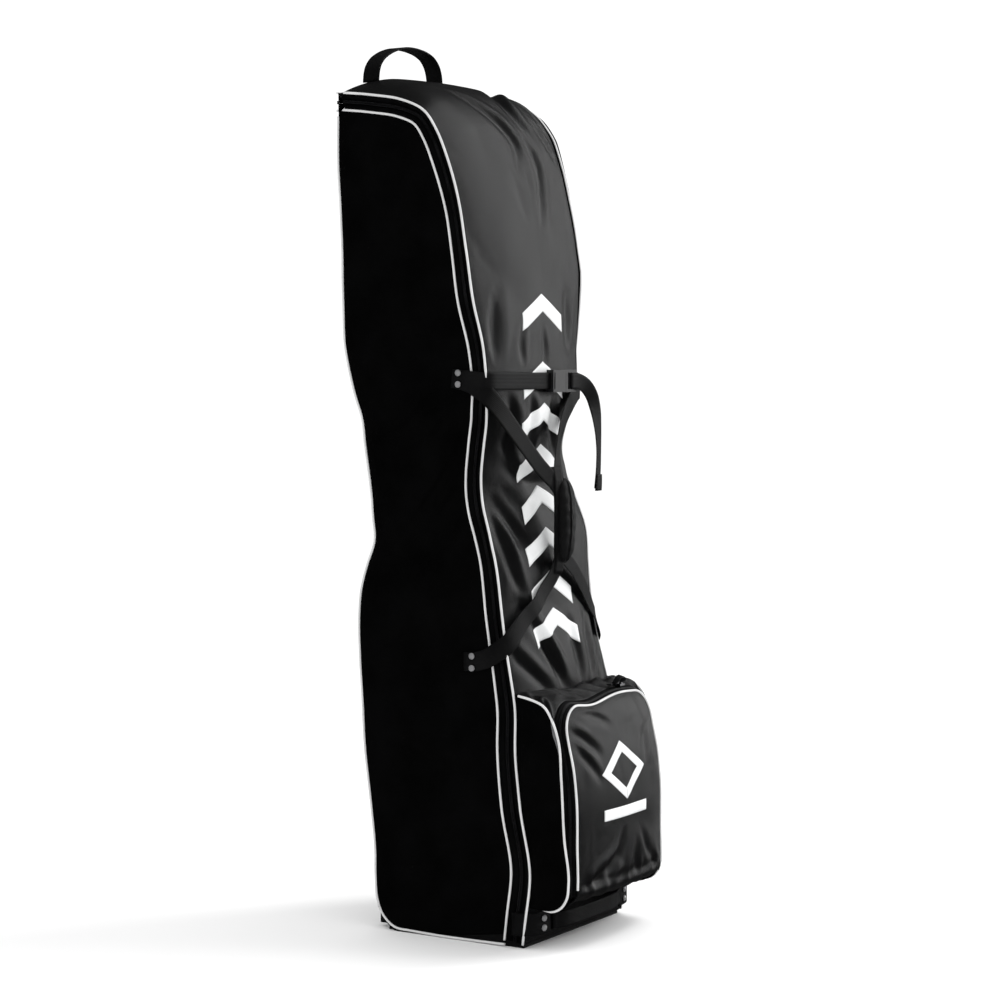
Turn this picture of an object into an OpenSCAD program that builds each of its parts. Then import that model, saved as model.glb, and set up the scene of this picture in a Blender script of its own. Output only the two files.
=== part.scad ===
// Wheeled soft travel case for a golf bag, standing upright on its base.
// Origin: centre of the base on the floor. +Z is up, the pocket side faces -Y, lengths are in mm.

/* [Case] */
// Height of the zipped top edge at the rear
edge_h = 1237; // [1227:1:1242]
// Rise of the padded crown above the side edges, at the middle of the top
crown_rise = 31; // [24:1:34]
// Half of the case's width at the floor
base_half_w = 145; // [142:1:148]
// Half of the case's width at the top edge
top_half_w = 147; // [143:1:150]
// Thickness of the padded fabric walls
wall_t = 6; // [4:0.5:7]
// Height of the line where the unzipped hood folds forward
fold_z = 865; // [855:1:880]

/* [Zip and piping] */
// Width of the zip band between the side panel and the cover
zip_band = 25; // [23:1:26]
// Diameter of the white piping
piping_d = 4; // [3:0.5:4]
// Thickness of a zip tape
tape_t = 2; // [1:0.5:2]

/* [Straps] */
// Width of the compression webbing
strap_w = 25; // [20:1:26]
// Width of the carry webbing
carry_w = 28; // [22:1:30]
// Height of the compression strap's centre line
strap_z = 813; // [808:1:818]
// Height of the lower carry anchors
anchor_z = 408; // [400:1:416]
// Length of the padded carry grip
grip_l = 125; // [110:1:128]

/* [Pocket] */
// Half of the pocket door's width
door_half_w = 124; // [116:1:126]
// Height of the pocket door along its own slope
door_h = 272; // [256:1:274]
// Lean of the pocket door towards the case, in degrees
door_tilt = 4.7; // [4:0.1:5.5]

/* [Wheels] */
// Radius of a wheel
wheel_r = 37.5; // [34:0.5:38]
// Width of a wheel
wheel_w = 24; // [20:0.5:24]
// Distance of each wheel's middle from the case's middle plane
wheel_x = 105; // [100:1:108]
// Radius of an axle bolt
axle_r = 4; // [3.5:0.1:4]

/* [Hidden] */
$fn = 48;
gap = 0.5;
reach = 400;
step_z = 34;

// Front edge of the side face: [height, y]
FRONT = [[20, -143], [107, -152], [209, -135], [277, -128], [346, -126], [418, -113], [482, -103],
         [550, -94], [619, -76], [688, -70], [813, -77], [871, -71], [930, -56], [1031, -40],
         [1120, -18], [1194, 19]];
// Rear edge of the side face: [height, y]
REAR = [[30, 106], [62, 114], [119, 116], [186, 123], [256, 131], [327, 136], [398, 142], [469, 145],
        [505, 141], [541, 130], [578, 117], [613, 119], [684, 128], [755, 139], [791, 151],
        [862, 165], [932, 170], [1003, 173], [1079, 177], [1145, 181], [1230, 181]];
rear_top_y = 181;
// Shoulder and top of the side face, from the front to the rear corner: [y, height]
SHOULDER = [[29, 1204], [46, 1213], [71, 1222], [115, 1230], [152, 1235], [rear_top_y, edge_h]];
// The same stretch along the middle of the padded top, ending in the rear lip
CROWN = [[24, 1205], [45, 1229], [74, 1247], [108, 1259], [142, 1266], [163, 1267],
         [174, 1262], [180, 1253], [rear_top_y, 1243], [rear_top_y, 1228]];
low_z = 22;
front_top_z = 1180;
back_low_z = 102;
back_top_z = 1213;

function half_w(z) = base_half_w + (top_half_w - base_half_w) * z / edge_h;
function front_y(z) = lookup(z, FRONT);
function rear_y(z) = lookup(z, REAR);
function heights(a, b) = concat([for (z = [a : step_z : b - step_z / 3]) z], [b]);
function front_path(a, b) = [for (z = heights(a, b)) [front_y(z), z]];
function rear_path(a, b) = [for (z = heights(a, b)) [rear_y(z), z]];
function unit(v) = v / norm(v);
function along(p, i) = unit(p[min(i + 1, len(p) - 1)] - p[max(i - 1, 0)]);
// Moves each point of a path to its right-hand side by d
function shifted(p, d) = [for (i = [0 : len(p) - 1]) p[i] + d * [along(p, i)[1], -along(p, i)[0]]];
function reversed(p) = [for (i = [len(p) - 1 : -1 : 0]) p[i]];
function ribbon(p, a, b) = concat(shifted(p, a), reversed(shifted(p, b)));
function hood_edge_path() = concat(front_path(fold_z + 1, front_top_z), [[19, 1194]], SHOULDER);
function cover_path() = front_path(low_z, fold_z - 1);
function side_edge_path() = concat(front_path(low_z, front_top_z), [[19, 1194]], SHOULDER);
function hood_path() = concat(front_path(fold_z + 1, front_top_z), CROWN);

// Draws a side-view shape and pushes it across the whole width
module across() {
    translate([-reach, 0, 0]) rotate([90, 0, 90]) linear_extrude(2 * reach) children();
}

// Draws a front-view shape and pushes it through the whole depth
module through() {
    translate([0, reach, 0]) rotate([90, 0, 0]) linear_extrude(2 * reach) children();
}

// Slab that follows the tapering left side, from inset a to inset b
module left_slab(a, b) {
    low = -20;
    high = edge_h + 60;
    through() polygon([[-half_w(low) + a, low], [-half_w(low) + b, low],
                       [-half_w(high) + b, high], [-half_w(high) + a, high]]);
}

// Everything between the two sides, with each side inset by a
module between_sides(a) {
    low = -20;
    high = edge_h + 60;
    through() polygon([[-half_w(low) + a, low], [half_w(low) - a, low],
                       [half_w(high) - a, high], [-half_w(high) + a, high]]);
}

// Everything under the arched top, lowered by a
module under_crown(a) {
    w = half_w(edge_h);
    arch_steps = 14;
    arch = [for (i = [0 : arch_steps]) let (s = 2 * i / arch_steps - 1)
            [w * s, edge_h + crown_rise * (1 - s * s) - a]];
    through() polygon(concat(arch, [[2 * w, edge_h - a], [2 * w, 0], [-2 * w, 0], [-2 * w, edge_h - a]]));
}

module mirrored() {
    children();
    mirror([1, 0, 0]) children();
}

module left_band(path, a, b, depth_a, depth_b) {
    intersection() {
        across() polygon(ribbon(path, a, b));
        left_slab(depth_a, depth_b);
    }
}

module box(low, high) {
    translate(low) cube(high - low);
}

module rod_x(x0, x1, y, z, r) {
    translate([x0, y, z]) rotate([0, 90, 0]) cylinder(h = x1 - x0, r = r);
}

// ---- Fabric walls ----

module side_wall() {
    edge = shifted(side_edge_path(), zip_band);
    rear = concat([[40, 4], [80, 14]], rear_path(40, back_top_z - 6));
    color("#101012") intersection() {
        across() polygon(concat([[-118, 6]], edge, reversed(rear)));
        left_slab(0, wall_t);
    }
}

module left_side_panel() {
    side_wall();
}

module right_side_panel() {
    mirror([1, 0, 0]) side_wall();
}

module back_panel() {
    color("#101012") intersection() {
        across() polygon(ribbon(rear_path(back_low_z, back_top_z), 0, -wall_t));
        between_sides(wall_t + gap);
    }
}

module front_cover() {
    color("#26272a") intersection() {
        across() polygon(ribbon(cover_path(), 0, wall_t));
        between_sides(tape_t + 2 * gap + 1);
    }
}

module hood_fill(a, drop) {
    edge = shifted(hood_path(), a);
    last = edge[len(edge) - 1];
    across() polygon(concat(edge, [[last[0], last[1] - drop], [edge[0][0], edge[0][1] - drop]]));
}

module hood_layer(outer, inner, side) {
    intersection() {
        difference() {
            intersection() {
                hood_fill(outer, 0);
                under_crown(outer);
            }
            intersection() {
                hood_fill(inner, 90);
                under_crown(inner);
            }
        }
        between_sides(side);
        across() polygon([[-reach, fold_z + 1], [reach, fold_z + 1], [reach, 2 * edge_h], [-reach, 2 * edge_h]]);
    }
}

module hood_cover() {
    color("#26272a") hood_layer(0, wall_t, tape_t + 2 * gap + 1);
}

module hood_padding() {
    color("#3a3b3e") intersection() {
        hood_layer(wall_t + gap, wall_t + gap + 6, zip_band);
        box([-reach, -60, 1000], [reach, 164, 2 * edge_h]);
    }
}

// ---- Boards and padding inside the walls ----

// Layer inside the back panel, from depth a to depth b, up to height top
module back_layer(a, b, top) {
    intersection() {
        across() polygon(ribbon(rear_path(back_low_z, back_top_z), -a, -b));
        between_sides(zip_band);
        box([-reach, 0, back_low_z + 10], [reach, reach, top]);
    }
}

module back_board() {
    color("#2b2b2b") back_layer(wall_t + gap, wall_t + 3.5, 500);
}

module back_padding() {
    color("#3a3b3e") back_layer(wall_t + 4, wall_t + 9, 1180);
}

module side_paddings() {
    low = 130;
    high = 1150;
    front = shifted(front_path(low, high), zip_band + 8);
    rear = shifted(rear_path(low, high), -wall_t - 12);
    color("#3a3b3e") mirrored() intersection() {
        across() polygon(concat(front, reversed(rear)));
        left_slab(wall_t + gap, wall_t + gap + 5);
    }
}

// ---- Base, rails and wheels ----
wheel_y = 100;
wheel_z = wheel_r + 2.5;
housing_w = wheel_w + 22;
housing_y0 = 56;
housing_y1 = 120;
housing_top = 98;

module housing_space(grow) {
    mirrored() box([wheel_x - housing_w / 2 - grow, housing_y0 - grow, -5],
                   [wheel_x + housing_w / 2 + grow, 200, housing_top + grow]);
}

module base_tray() {
    w = half_w(0) - wall_t - 2;
    y0 = -136;
    y1 = 98;
    wall = 4;
    color("#18181a") difference() {
        union() {
            box([-w, y0, 0], [w, y1, 32]);
            box([-70, y1 - 1, 4], [70, y1 + wall, 98]);
        }
        box([-w + wall, y0 + wall, 5], [w - wall, y1 - wall, 40]);
        housing_space(gap);
    }
}

module wheel_housing() {
    slot = wheel_w + 4;
    clear_r = wheel_r + 4;
    color("#1b1b1d") difference() {
        box([wheel_x - housing_w / 2, housing_y0, 6], [wheel_x + housing_w / 2, housing_y1, housing_top]);
        rod_x(wheel_x - slot / 2, wheel_x + slot / 2, wheel_y, wheel_z, clear_r);
        box([wheel_x - slot / 2, wheel_y, -5], [wheel_x + slot / 2, 200, wheel_z + clear_r]);
        box([wheel_x - slot / 2, wheel_y - clear_r, -5], [wheel_x + slot / 2, 200, wheel_z]);
        rod_x(wheel_x - housing_w, wheel_x + housing_w, wheel_y, wheel_z, axle_r + 0.05);
    }
}

module left_wheel_housing() {
    mirror([1, 0, 0]) wheel_housing();
}

module right_wheel_housing() {
    wheel_housing();
}

module axle_bolts() {
    color("#b8babd") mirrored() {
        rod_x(wheel_x - housing_w / 2 - 7, wheel_x + housing_w / 2 + gap, wheel_y, wheel_z, axle_r);
        rod_x(wheel_x + housing_w / 2 + 0.2, wheel_x + housing_w / 2 + 4, wheel_y, wheel_z, 7);
    }
}

module axle_nuts() {
    x = wheel_x - housing_w / 2 - 6;
    color("#b8babd") mirrored() difference() {
        translate([x, wheel_y, wheel_z]) rotate([0, 90, 0]) cylinder(h = 5.5, r = 7, $fn = 6);
        rod_x(x - 1, x + 7, wheel_y, wheel_z, axle_r + 0.05);
    }
}

bearing_r = 11;
bearing_w = 7;
hub_r = 24;

module tyre() {
    color("#2a2a2c") rotate([0, 90, 0]) rotate_extrude($fn = 72) difference() {
        union() {
            translate([hub_r + 0.05, -wheel_w / 2]) square([wheel_r - hub_r - 5.05, wheel_w]);
            translate([hub_r + 4, -wheel_w / 2 + 5]) square([wheel_r - hub_r - 4, wheel_w - 10]);
            for (s = [-1, 1]) translate([wheel_r - 5, s * (wheel_w / 2 - 5)]) circle(5);
        }
        translate([-1, -wheel_w]) square([hub_r + 1.05, 2 * wheel_w]);
    }
}

module hub() {
    ring = 3;
    spokes = 6;
    color("#8d9094") rotate([0, 90, 0]) {
        difference() {
            union() {
                difference() {
                    cylinder(h = wheel_w - 2, r = hub_r, center = true, $fn = 72);
                    cylinder(h = wheel_w, r = hub_r - ring, center = true, $fn = 72);
                }
                cylinder(h = wheel_w - 2, r = bearing_r + ring, center = true);
                for (i = [0 : spokes - 1]) rotate([0, 0, 360 * i / spokes]) {
                    translate([bearing_r, -2, -7]) cube([hub_r - bearing_r - 1, 4, 14]);
                }
            }
            cylinder(h = wheel_w, r = axle_r + 2, center = true);
            for (s = [-1, 1]) translate([0, 0, s * (wheel_w / 2 - 1 - bearing_w / 2)]) {
                cylinder(h = bearing_w + 0.2, r = bearing_r + 0.05, center = true);
            }
        }
    }
}

module bearings() {
    color("#c4c6c9") for (s = [-1, 1]) translate([s * (wheel_w / 2 - 1 - bearing_w / 2), 0, 0]) {
        rotate([0, 90, 0]) difference() {
            cylinder(h = bearing_w - 0.2, r = bearing_r, center = true);
            cylinder(h = bearing_w + 1, r = axle_r + 0.05, center = true);
        }
    }
}

module left_tyre() {
    translate([-wheel_x, wheel_y, wheel_z]) tyre();
}

module left_hub() {
    translate([-wheel_x, wheel_y, wheel_z]) hub();
}

module left_bearings() {
    translate([-wheel_x, wheel_y, wheel_z]) bearings();
}

module right_tyre() {
    translate([wheel_x, wheel_y, wheel_z]) tyre();
}

module right_hub() {
    translate([wheel_x, wheel_y, wheel_z]) hub();
}

module right_bearings() {
    translate([wheel_x, wheel_y, wheel_z]) bearings();
}

rail_x = 62;
rail_w = 14;
rail_low = 140;
rail_high = 470;

module skid_rails() {
    color("#1b1b1d") mirrored() difference() {
        intersection() {
            across() polygon(ribbon(rear_path(rail_low, rail_high), gap, 8));
            box([rail_x - rail_w / 2, 0, 0], [rail_x + rail_w / 2, reach, edge_h]);
        }
        for (z = [rail_low + 15, rail_high - 15]) translate([rail_x, 0, z]) {
            rotate([-90, 0, 0]) cylinder(h = reach, r = 2.05);
        }
    }
}

module rail_screws() {
    color("#b8babd") mirrored() for (z = [rail_low + 15, rail_high - 15]) {
        translate([rail_x, rear_y(z) + gap, z]) rotate([-90, 0, 0]) {
            cylinder(h = 9, r = 2);
            translate([0, 0, 8.5]) cylinder(h = 2, r = 4);
        }
    }
}

// ---- Zip tapes and piping ----
inner_tape = zip_band / 2 + 1;

module side_zip_tapes() {
    color("#1c1c20") {
        mirrored() left_band(side_edge_path(), inner_tape, zip_band - gap, 1, 1 + tape_t);
        box([-half_w(edge_h) + 6, rear_top_y + gap, back_top_z - 1],
            [half_w(edge_h) - 6, rear_top_y + gap + tape_t, back_top_z + 10]);
    }
}

// Tape on the cover's side of the zip, between heights z0 and z1
module outer_tape(z0, z1) {
    mirrored() intersection() {
        left_band(side_edge_path(), piping_d - 1, inner_tape - gap, 1, 1 + tape_t);
        box([-reach, -reach, z0], [reach, reach, z1]);
    }
}

module cover_zip_tapes() {
    color("#1c1c20") outer_tape(0, fold_z - 1);
}

module hood_zip_tapes() {
    color("#1c1c20") {
        outer_tape(fold_z + 1, edge_h);
        box([-half_w(edge_h) + 6, rear_top_y + gap, back_top_z + 10.5],
            [half_w(edge_h) - 6, rear_top_y + gap + tape_t, edge_h]);
    }
}

module side_pipings() {
    color("white") mirrored() left_band(side_edge_path(), zip_band - 2, zip_band + piping_d - 2, -piping_d, -0.2);
}

module cover_pipings() {
    color("white") mirrored() left_band(cover_path(), -1, piping_d - 1.5, -piping_d, -0.2);
}

module hood_pipings() {
    color("white") mirrored() left_band(hood_edge_path(), -1, piping_d - 1.5, -piping_d, -0.2);
}

module rear_pipings() {
    color("white") mirrored() left_band(rear_path(back_low_z, back_top_z - 6), 0, -piping_d, -piping_d, -0.2);
}

// ---- Pocket ----
door_y = -214;
door_z = 80;
door_t = 8;
door_corner = 42;
gusset_grow = 12;
gusset_front = -18.5;

module pocket_frame() {
    translate([0, door_y, door_z]) rotate([-door_tilt, 0, 0]) rotate([90, 0, 0]) children();
}

// Door outline grown by g, with its lower edge at height h0
module door_outline(g, h0) {
    r = door_corner + g;
    w = door_half_w + g;
    h = door_h + g;
    translate([-w, h0]) square([2 * w, h - r - h0]);
    translate([-w + r, h0]) square([2 * (w - r), h - h0]);
    for (s = [-1, 1]) translate([s * (w - r), h - r]) circle(r);
}

module pocket_band(outer, inner, n0, n1, h0) {
    translate([0, 0, n0]) linear_extrude(n1 - n0) difference() {
        door_outline(outer, h0);
        door_outline(inner, h0 - 5);
    }
}

module pocket_gusset() {
    color("#1d1e20") difference() {
        pocket_frame() translate([0, 0, -120]) linear_extrude(120 + gusset_front) difference() {
            door_outline(gusset_grow, -16);
            door_outline(gusset_grow - 4, -12);
        }
        across() polygon(concat([[0, 0], [-170, 0]], shifted(front_path(low_z, 600), -1), [[0, 600]]));
    }
}

module pocket_gusset_tape() {
    color("#1c1c20") pocket_frame() pocket_band(10, 8, gusset_front + gap, -9.75, 5);
}

module pocket_gusset_piping() {
    color("white") pocket_frame() {
        pocket_band(gusset_grow + piping_d, gusset_grow + 0.3, gusset_front - piping_d, gusset_front, 0);
    }
}

module pocket_door() {
    color("#2c2d30") pocket_frame() linear_extrude(door_t) door_outline(0, 0);
}

module pocket_door_tape() {
    color("#1c1c20") pocket_frame() pocket_band(10, 8, -9.25, -gap, 5);
}

module pocket_door_piping() {
    color("white") pocket_frame() pocket_band(piping_d + 0.3, 0.3, 2, 2 + piping_d, 5);
}

// ---- Zip sliders and pulls. Local X runs along the zip, Z points away from it ----
slider_l = 14;
slider_w = 9;
pull_pin_r = 1;

module zip_slider() {
    color("#b0b2b5") {
        translate([-slider_l / 2, -slider_w / 2, 0]) cube([slider_l, slider_w, 2.8]);
        for (s = [-1, 1]) translate([-2, s * 3 - 0.75, 2.7]) cube([4, 1.5, 3.8]);
        rotate([90, 0, 0]) translate([0, 5, -3]) cylinder(h = 6, r = pull_pin_r, $fn = 24);
    }
}

module zip_pull() {
    color("#b0b2b5") difference() {
        union() {
            rotate([90, 0, 0]) translate([0, 5, -2]) cylinder(h = 4, r = 2, $fn = 24);
            translate([0, -2, 4.4]) cube([26, 4, 1.2]);
            translate([10, -4, 4.4]) cube([22, 8, 1.6]);
        }
        rotate([90, 0, 0]) translate([0, 5, -5]) cylinder(h = 10, r = pull_pin_r + 0.05, $fn = 24);
    }
}

rear_slider_y = rear_top_y + gap + tape_t + 0.3;
rear_slider_z = back_top_z + 10.25;

module at_rear_zip(side) {
    translate([side * 10, rear_slider_y, rear_slider_z]) {
        rotate([-90, 0, 0]) rotate([0, 0, side > 0 ? 0 : 180]) children();
    }
}

module left_zip_slider() {
    at_rear_zip(-1) zip_slider();
}

module left_zip_pull() {
    at_rear_zip(-1) zip_pull();
}

module right_zip_slider() {
    at_rear_zip(1) zip_slider();
}

module right_zip_pull() {
    at_rear_zip(1) zip_pull();
}

pocket_slider_x = 62;

module at_pocket_zip() {
    pocket_frame() translate([pocket_slider_x, door_h + 10.3, -9.5]) rotate([-90, 0, 0]) rotate([0, 0, 180]) children();
}

module pocket_zip_slider() {
    at_pocket_zip() zip_slider();
}

module pocket_zip_pull() {
    at_pocket_zip() zip_pull();
}

// ---- Compression strap and buckles ----
strap_t = 1.6;
strap_y = front_y(strap_z) - 6;
strap_x = half_w(strap_z) + 5.5;
strap_rear = -34;

// Webbing that lies along the left side, from y0 back to y1
module side_run(x, y0, y1, z, w) {
    box([-x - strap_t, y0, z - w / 2], [-x, y1, z + w / 2]);
}

module compression_strap_left() {
    color("#141416") {
        side_run(strap_x, strap_y - strap_t, strap_rear, strap_z, strap_w);
        box([-strap_x - strap_t, strap_y - strap_t, strap_z - strap_w / 2],
            [buckle_x - 1, strap_y, strap_z + strap_w / 2]);
    }
}

module compression_strap_right() {
    color("#141416") mirror([1, 0, 0]) {
        side_run(strap_x, strap_y - strap_t, strap_rear, strap_z, strap_w);
        box([-strap_x - strap_t, strap_y - strap_t, strap_z - strap_w / 2],
            [-buckle_x - 40, strap_y, strap_z + strap_w / 2]);
    }
}

buckle_x = 10;
buckle_l = 36;
buckle_h = 33;
buckle_t = 12;

// Socket half of a side-release buckle: its back rests on Y = 0 and its mouth faces +X
module buckle_socket(h) {
    wall = 2.5;
    color("#1e1e20") difference() {
        box([0, -buckle_t, -h / 2], [buckle_l, 0, h / 2]);
        box([8, -buckle_t + wall, -h / 2 + wall], [buckle_l + 1, -wall, h / 2 - wall]);
        box([12, -buckle_t + wall, -h / 2 - 1], [24, -wall, h / 2 + 1]);
        box([2.5, -buckle_t - 1, -h / 2 + 4], [5.5, 1, h / 2 - 4]);
    }
}

// Plug half: prongs at -X, ladder bars for the webbing at +X
module buckle_plug(h) {
    base = buckle_l + 0.5;
    color("#1e1e20") difference() {
        union() {
            box([base, -buckle_t, -h / 2], [base + 32, -1, h / 2]);
            box([12, -buckle_t + 4, -2], [base + 1, -4, 2]);
            for (s = [-1, 1]) {
                box([15, -buckle_t + 4, s * (h / 2 - 7) - 2], [base + 1, -4, s * (h / 2 - 7) + 2]);
            }
        }
        for (x = [6, 14, 22]) box([base + x, -buckle_t - 1, -h / 2 + 4], [base + x + 4, 1, h / 2 - 4]);
    }
}

module buckle_female() {
    translate([buckle_x, strap_y - strap_t - 0.4, strap_z]) buckle_socket(buckle_h);
}

module buckle_male() {
    translate([buckle_x, strap_y - strap_t - 0.4, strap_z]) buckle_plug(buckle_h);
}

// Straight piece of webbing from p to q
module webbing(p, q, w, t) {
    d = q - p;
    turn = atan2(d[1], d[0]);
    rise = asin(d[2] / norm(d));
    translate(p) rotate([0, -rise, turn]) translate([0, -t / 2, -w / 2]) cube([norm(d), t, w]);
}

module strap_tail() {
    y = strap_y - 30;
    w = 20;
    start_x = buckle_x + buckle_l + 34;
    path = [[start_x, strap_z - 1], [start_x + 22, strap_z - 8], [start_x + 44, strap_z - 30],
            [start_x + 56, strap_z - 62], [start_x + 60, strap_z - 100], [start_x + 60, strap_z - 178]];
    color("#141416") translate([0, y + w / 2, 0]) rotate([90, 0, 0]) linear_extrude(w) {
        polygon(ribbon(path, 0, strap_t));
    }
}

// ---- Carry handle ----
grip_x = -6;
grip_y = -120;
grip_z = 545;
grip_w = 46;
grip_t = 26;

module carry_grip() {
    color("#1a1a1c") translate([grip_x, grip_y, grip_z]) linear_extrude(grip_l) difference() {
        union() {
            square([grip_w - grip_t, grip_t], center = true);
            for (s = [-1, 1]) translate([s * (grip_w - grip_t) / 2, 0]) circle(grip_t / 2);
        }
        square([carry_w + 2, 7], center = true);
    }
}

module grip_webbing() {
    color("#141416") translate([grip_x - carry_w / 2, grip_y - 2.5, grip_z - 3]) {
        cube([carry_w, 5, grip_l + 6]);
    }
}

module carry_leg(anchor, rivet_y, end_x, end_y, end_z) {
    x = half_w(anchor) + 8;
    y = front_y(anchor) - 10;
    side = end_x < grip_x ? -1 : 1;
    color("#141416") {
        mirror([side > 0 ? 1 : 0, 0, 0]) side_run(x, y, rivet_y, anchor, carry_w);
        webbing([side * x, y, anchor], [end_x, end_y, end_z], carry_w, strap_t);
    }
}

leg_rise = 16;

module carry_strap_upper_left() {
    carry_leg(strap_z, strap_rear, grip_x - 4, grip_y - 3, grip_z + grip_l + leg_rise);
}

module carry_strap_upper_right() {
    carry_leg(strap_z, strap_rear, grip_x + 4, grip_y + 3, grip_z + grip_l + leg_rise);
}

module carry_strap_lower_left() {
    carry_leg(anchor_z, front_y(anchor_z) + 66, grip_x - 4, grip_y - 3, grip_z - leg_rise);
}

module carry_strap_lower_right() {
    carry_leg(anchor_z, front_y(anchor_z) + 66, grip_x + 4, grip_y + 3, grip_z - leg_rise);
}

rivet_r = 4;

// Places a pair of side rivets, pointing out of the left side
module side_rivet_places(z, y, spread) {
    for (s = [-1, 1]) translate([0, y, z + s * spread / 2]) rotate([0, -90, 0]) children();
}

upper_rivet_y = -41;
lower_rivet_y = front_y(anchor_z) + 58;
patch_x = 118;
patch_z = 36;

module rivets() {
    head = 2;
    upper_x = half_w(strap_z) + 8 + strap_t + 0.2;
    lower_x = half_w(anchor_z) + 8 + strap_t + 0.2;
    color("#b9bbbe") {
        mirrored() {
            translate([-upper_x, 0, 0]) side_rivet_places(strap_z, upper_rivet_y, 17) cylinder(h = head, r = rivet_r);
            translate([-lower_x, 0, 0]) side_rivet_places(anchor_z, lower_rivet_y, 17) cylinder(h = head, r = rivet_r);
            for (s = [-1, 1]) translate([-patch_x, front_y(patch_z) - 1.5, patch_z + s * 7]) {
                rotate([90, 0, 0]) cylinder(h = head, r = rivet_r);
            }
        }
    }
}

module rivet_washers() {
    color("#9b9da0") mirrored() {
        translate([-half_w(strap_z) + wall_t + 7.5, 0, 0]) {
            side_rivet_places(strap_z, upper_rivet_y, 17) cylinder(h = 1, r = 5);
        }
        translate([-half_w(anchor_z) + wall_t + 7.5, 0, 0]) {
            side_rivet_places(anchor_z, lower_rivet_y, 17) cylinder(h = 1, r = 5);
        }
    }
}

// ---- Top and bottom grab handles ----
handle_y = 163;
handle_z = 1262;
handle_half = 80;
handle_rise = 56;

module top_handle() {
    r = (pow(handle_half, 2) + pow(handle_rise, 2)) / (2 * handle_rise);
    color("#141416") translate([0, handle_y + 15, handle_z]) rotate([90, 0, 0]) linear_extrude(30) {
        intersection() {
            translate([0, handle_rise - r]) difference() {
                circle(r, $fn = 120);
                circle(r - 3, $fn = 120);
            }
            translate([-reach, 20]) square([2 * reach, reach]);
        }
    }
}

bottom_y = -152;
bottom_half = 104;
bottom_bow = 24;

module bottom_handle() {
    r = (pow(bottom_half, 2) + pow(bottom_bow, 2)) / (2 * bottom_bow);
    color("#141416") translate([0, bottom_y, patch_z - strap_w / 2]) linear_extrude(strap_w) {
        intersection() {
            translate([0, r - bottom_bow]) difference() {
                circle(r, $fn = 160);
                circle(r - 2, $fn = 160);
            }
            translate([-reach, -reach]) square([2 * reach, reach - 7]);
        }
    }
}

// ---- Tie-down strap inside the case ----
tie_z = 740;
tie_y = rear_y(tie_z) - 18;
tie_buckle_x = -35;

module tie_half(x1) {
    x0 = -half_w(tie_z) + wall_t + 7.5;
    box([x0, tie_y - strap_t, tie_z - strap_w / 2], [x1, tie_y, tie_z + strap_w / 2]);
    box([x0, tie_y - 40, tie_z - strap_w / 2], [x0 + strap_t, tie_y, tie_z + strap_w / 2]);
}

module tie_strap_left() {
    color("#2a2a2d") tie_half(tie_buckle_x - 1);
}

module tie_strap_right() {
    color("#2a2a2d") mirror([1, 0, 0]) tie_half(-tie_buckle_x - 40);
}

module tie_buckle_female() {
    translate([tie_buckle_x, tie_y - strap_t - 0.4, tie_z]) buckle_socket(buckle_h);
}

module tie_buckle_male() {
    translate([tie_buckle_x, tie_y - strap_t - 0.4, tie_z]) buckle_plug(buckle_h);
}

left_side_panel();
right_side_panel();
back_panel();
front_cover();
base_tray();
back_board();
back_padding();
side_paddings();
skid_rails();
rail_screws();
left_wheel_housing();
right_wheel_housing();
axle_bolts();
axle_nuts();
side_zip_tapes();
cover_zip_tapes();
side_pipings();
rear_pipings();
cover_pipings();
pocket_gusset();
pocket_gusset_tape();
pocket_gusset_piping();
compression_strap_left();
compression_strap_right();
buckle_female();
carry_strap_upper_left();
carry_strap_upper_right();
carry_strap_lower_left();
carry_strap_lower_right();
rivets();
rivet_washers();
tie_strap_left();
tie_strap_right();
tie_buckle_female();
hood_cover();
hood_padding();
hood_pipings();
hood_zip_tapes();
top_handle();
left_tyre();
left_hub();
left_bearings();
right_tyre();
right_hub();
right_bearings();
left_zip_slider();
left_zip_pull();
right_zip_slider();
right_zip_pull();
pocket_door();
pocket_door_tape();
pocket_door_piping();
pocket_zip_slider();
pocket_zip_pull();
buckle_male();
strap_tail();
carry_grip();
grip_webbing();
bottom_handle();
tie_buckle_male();
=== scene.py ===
"""Looks for a wheeled soft golf travel case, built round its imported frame. Metres, +Z up, pocket at -Y."""
import math

import bpy
import numpy as np
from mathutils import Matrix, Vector
from mathutils.bvhtree import BVHTree


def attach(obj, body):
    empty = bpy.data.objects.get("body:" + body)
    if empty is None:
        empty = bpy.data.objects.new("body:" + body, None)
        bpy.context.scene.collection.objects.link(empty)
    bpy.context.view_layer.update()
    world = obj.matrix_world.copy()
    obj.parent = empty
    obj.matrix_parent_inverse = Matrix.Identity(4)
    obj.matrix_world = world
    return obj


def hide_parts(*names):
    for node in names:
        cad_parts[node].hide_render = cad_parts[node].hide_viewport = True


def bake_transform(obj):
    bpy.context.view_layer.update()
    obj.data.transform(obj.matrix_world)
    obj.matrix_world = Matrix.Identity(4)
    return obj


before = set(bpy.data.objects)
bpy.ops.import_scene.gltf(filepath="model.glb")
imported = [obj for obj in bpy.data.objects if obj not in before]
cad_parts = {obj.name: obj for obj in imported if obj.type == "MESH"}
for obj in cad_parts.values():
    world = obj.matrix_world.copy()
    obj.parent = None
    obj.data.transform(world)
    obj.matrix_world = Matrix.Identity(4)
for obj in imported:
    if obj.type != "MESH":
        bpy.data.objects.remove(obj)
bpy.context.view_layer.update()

MM = .001

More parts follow.
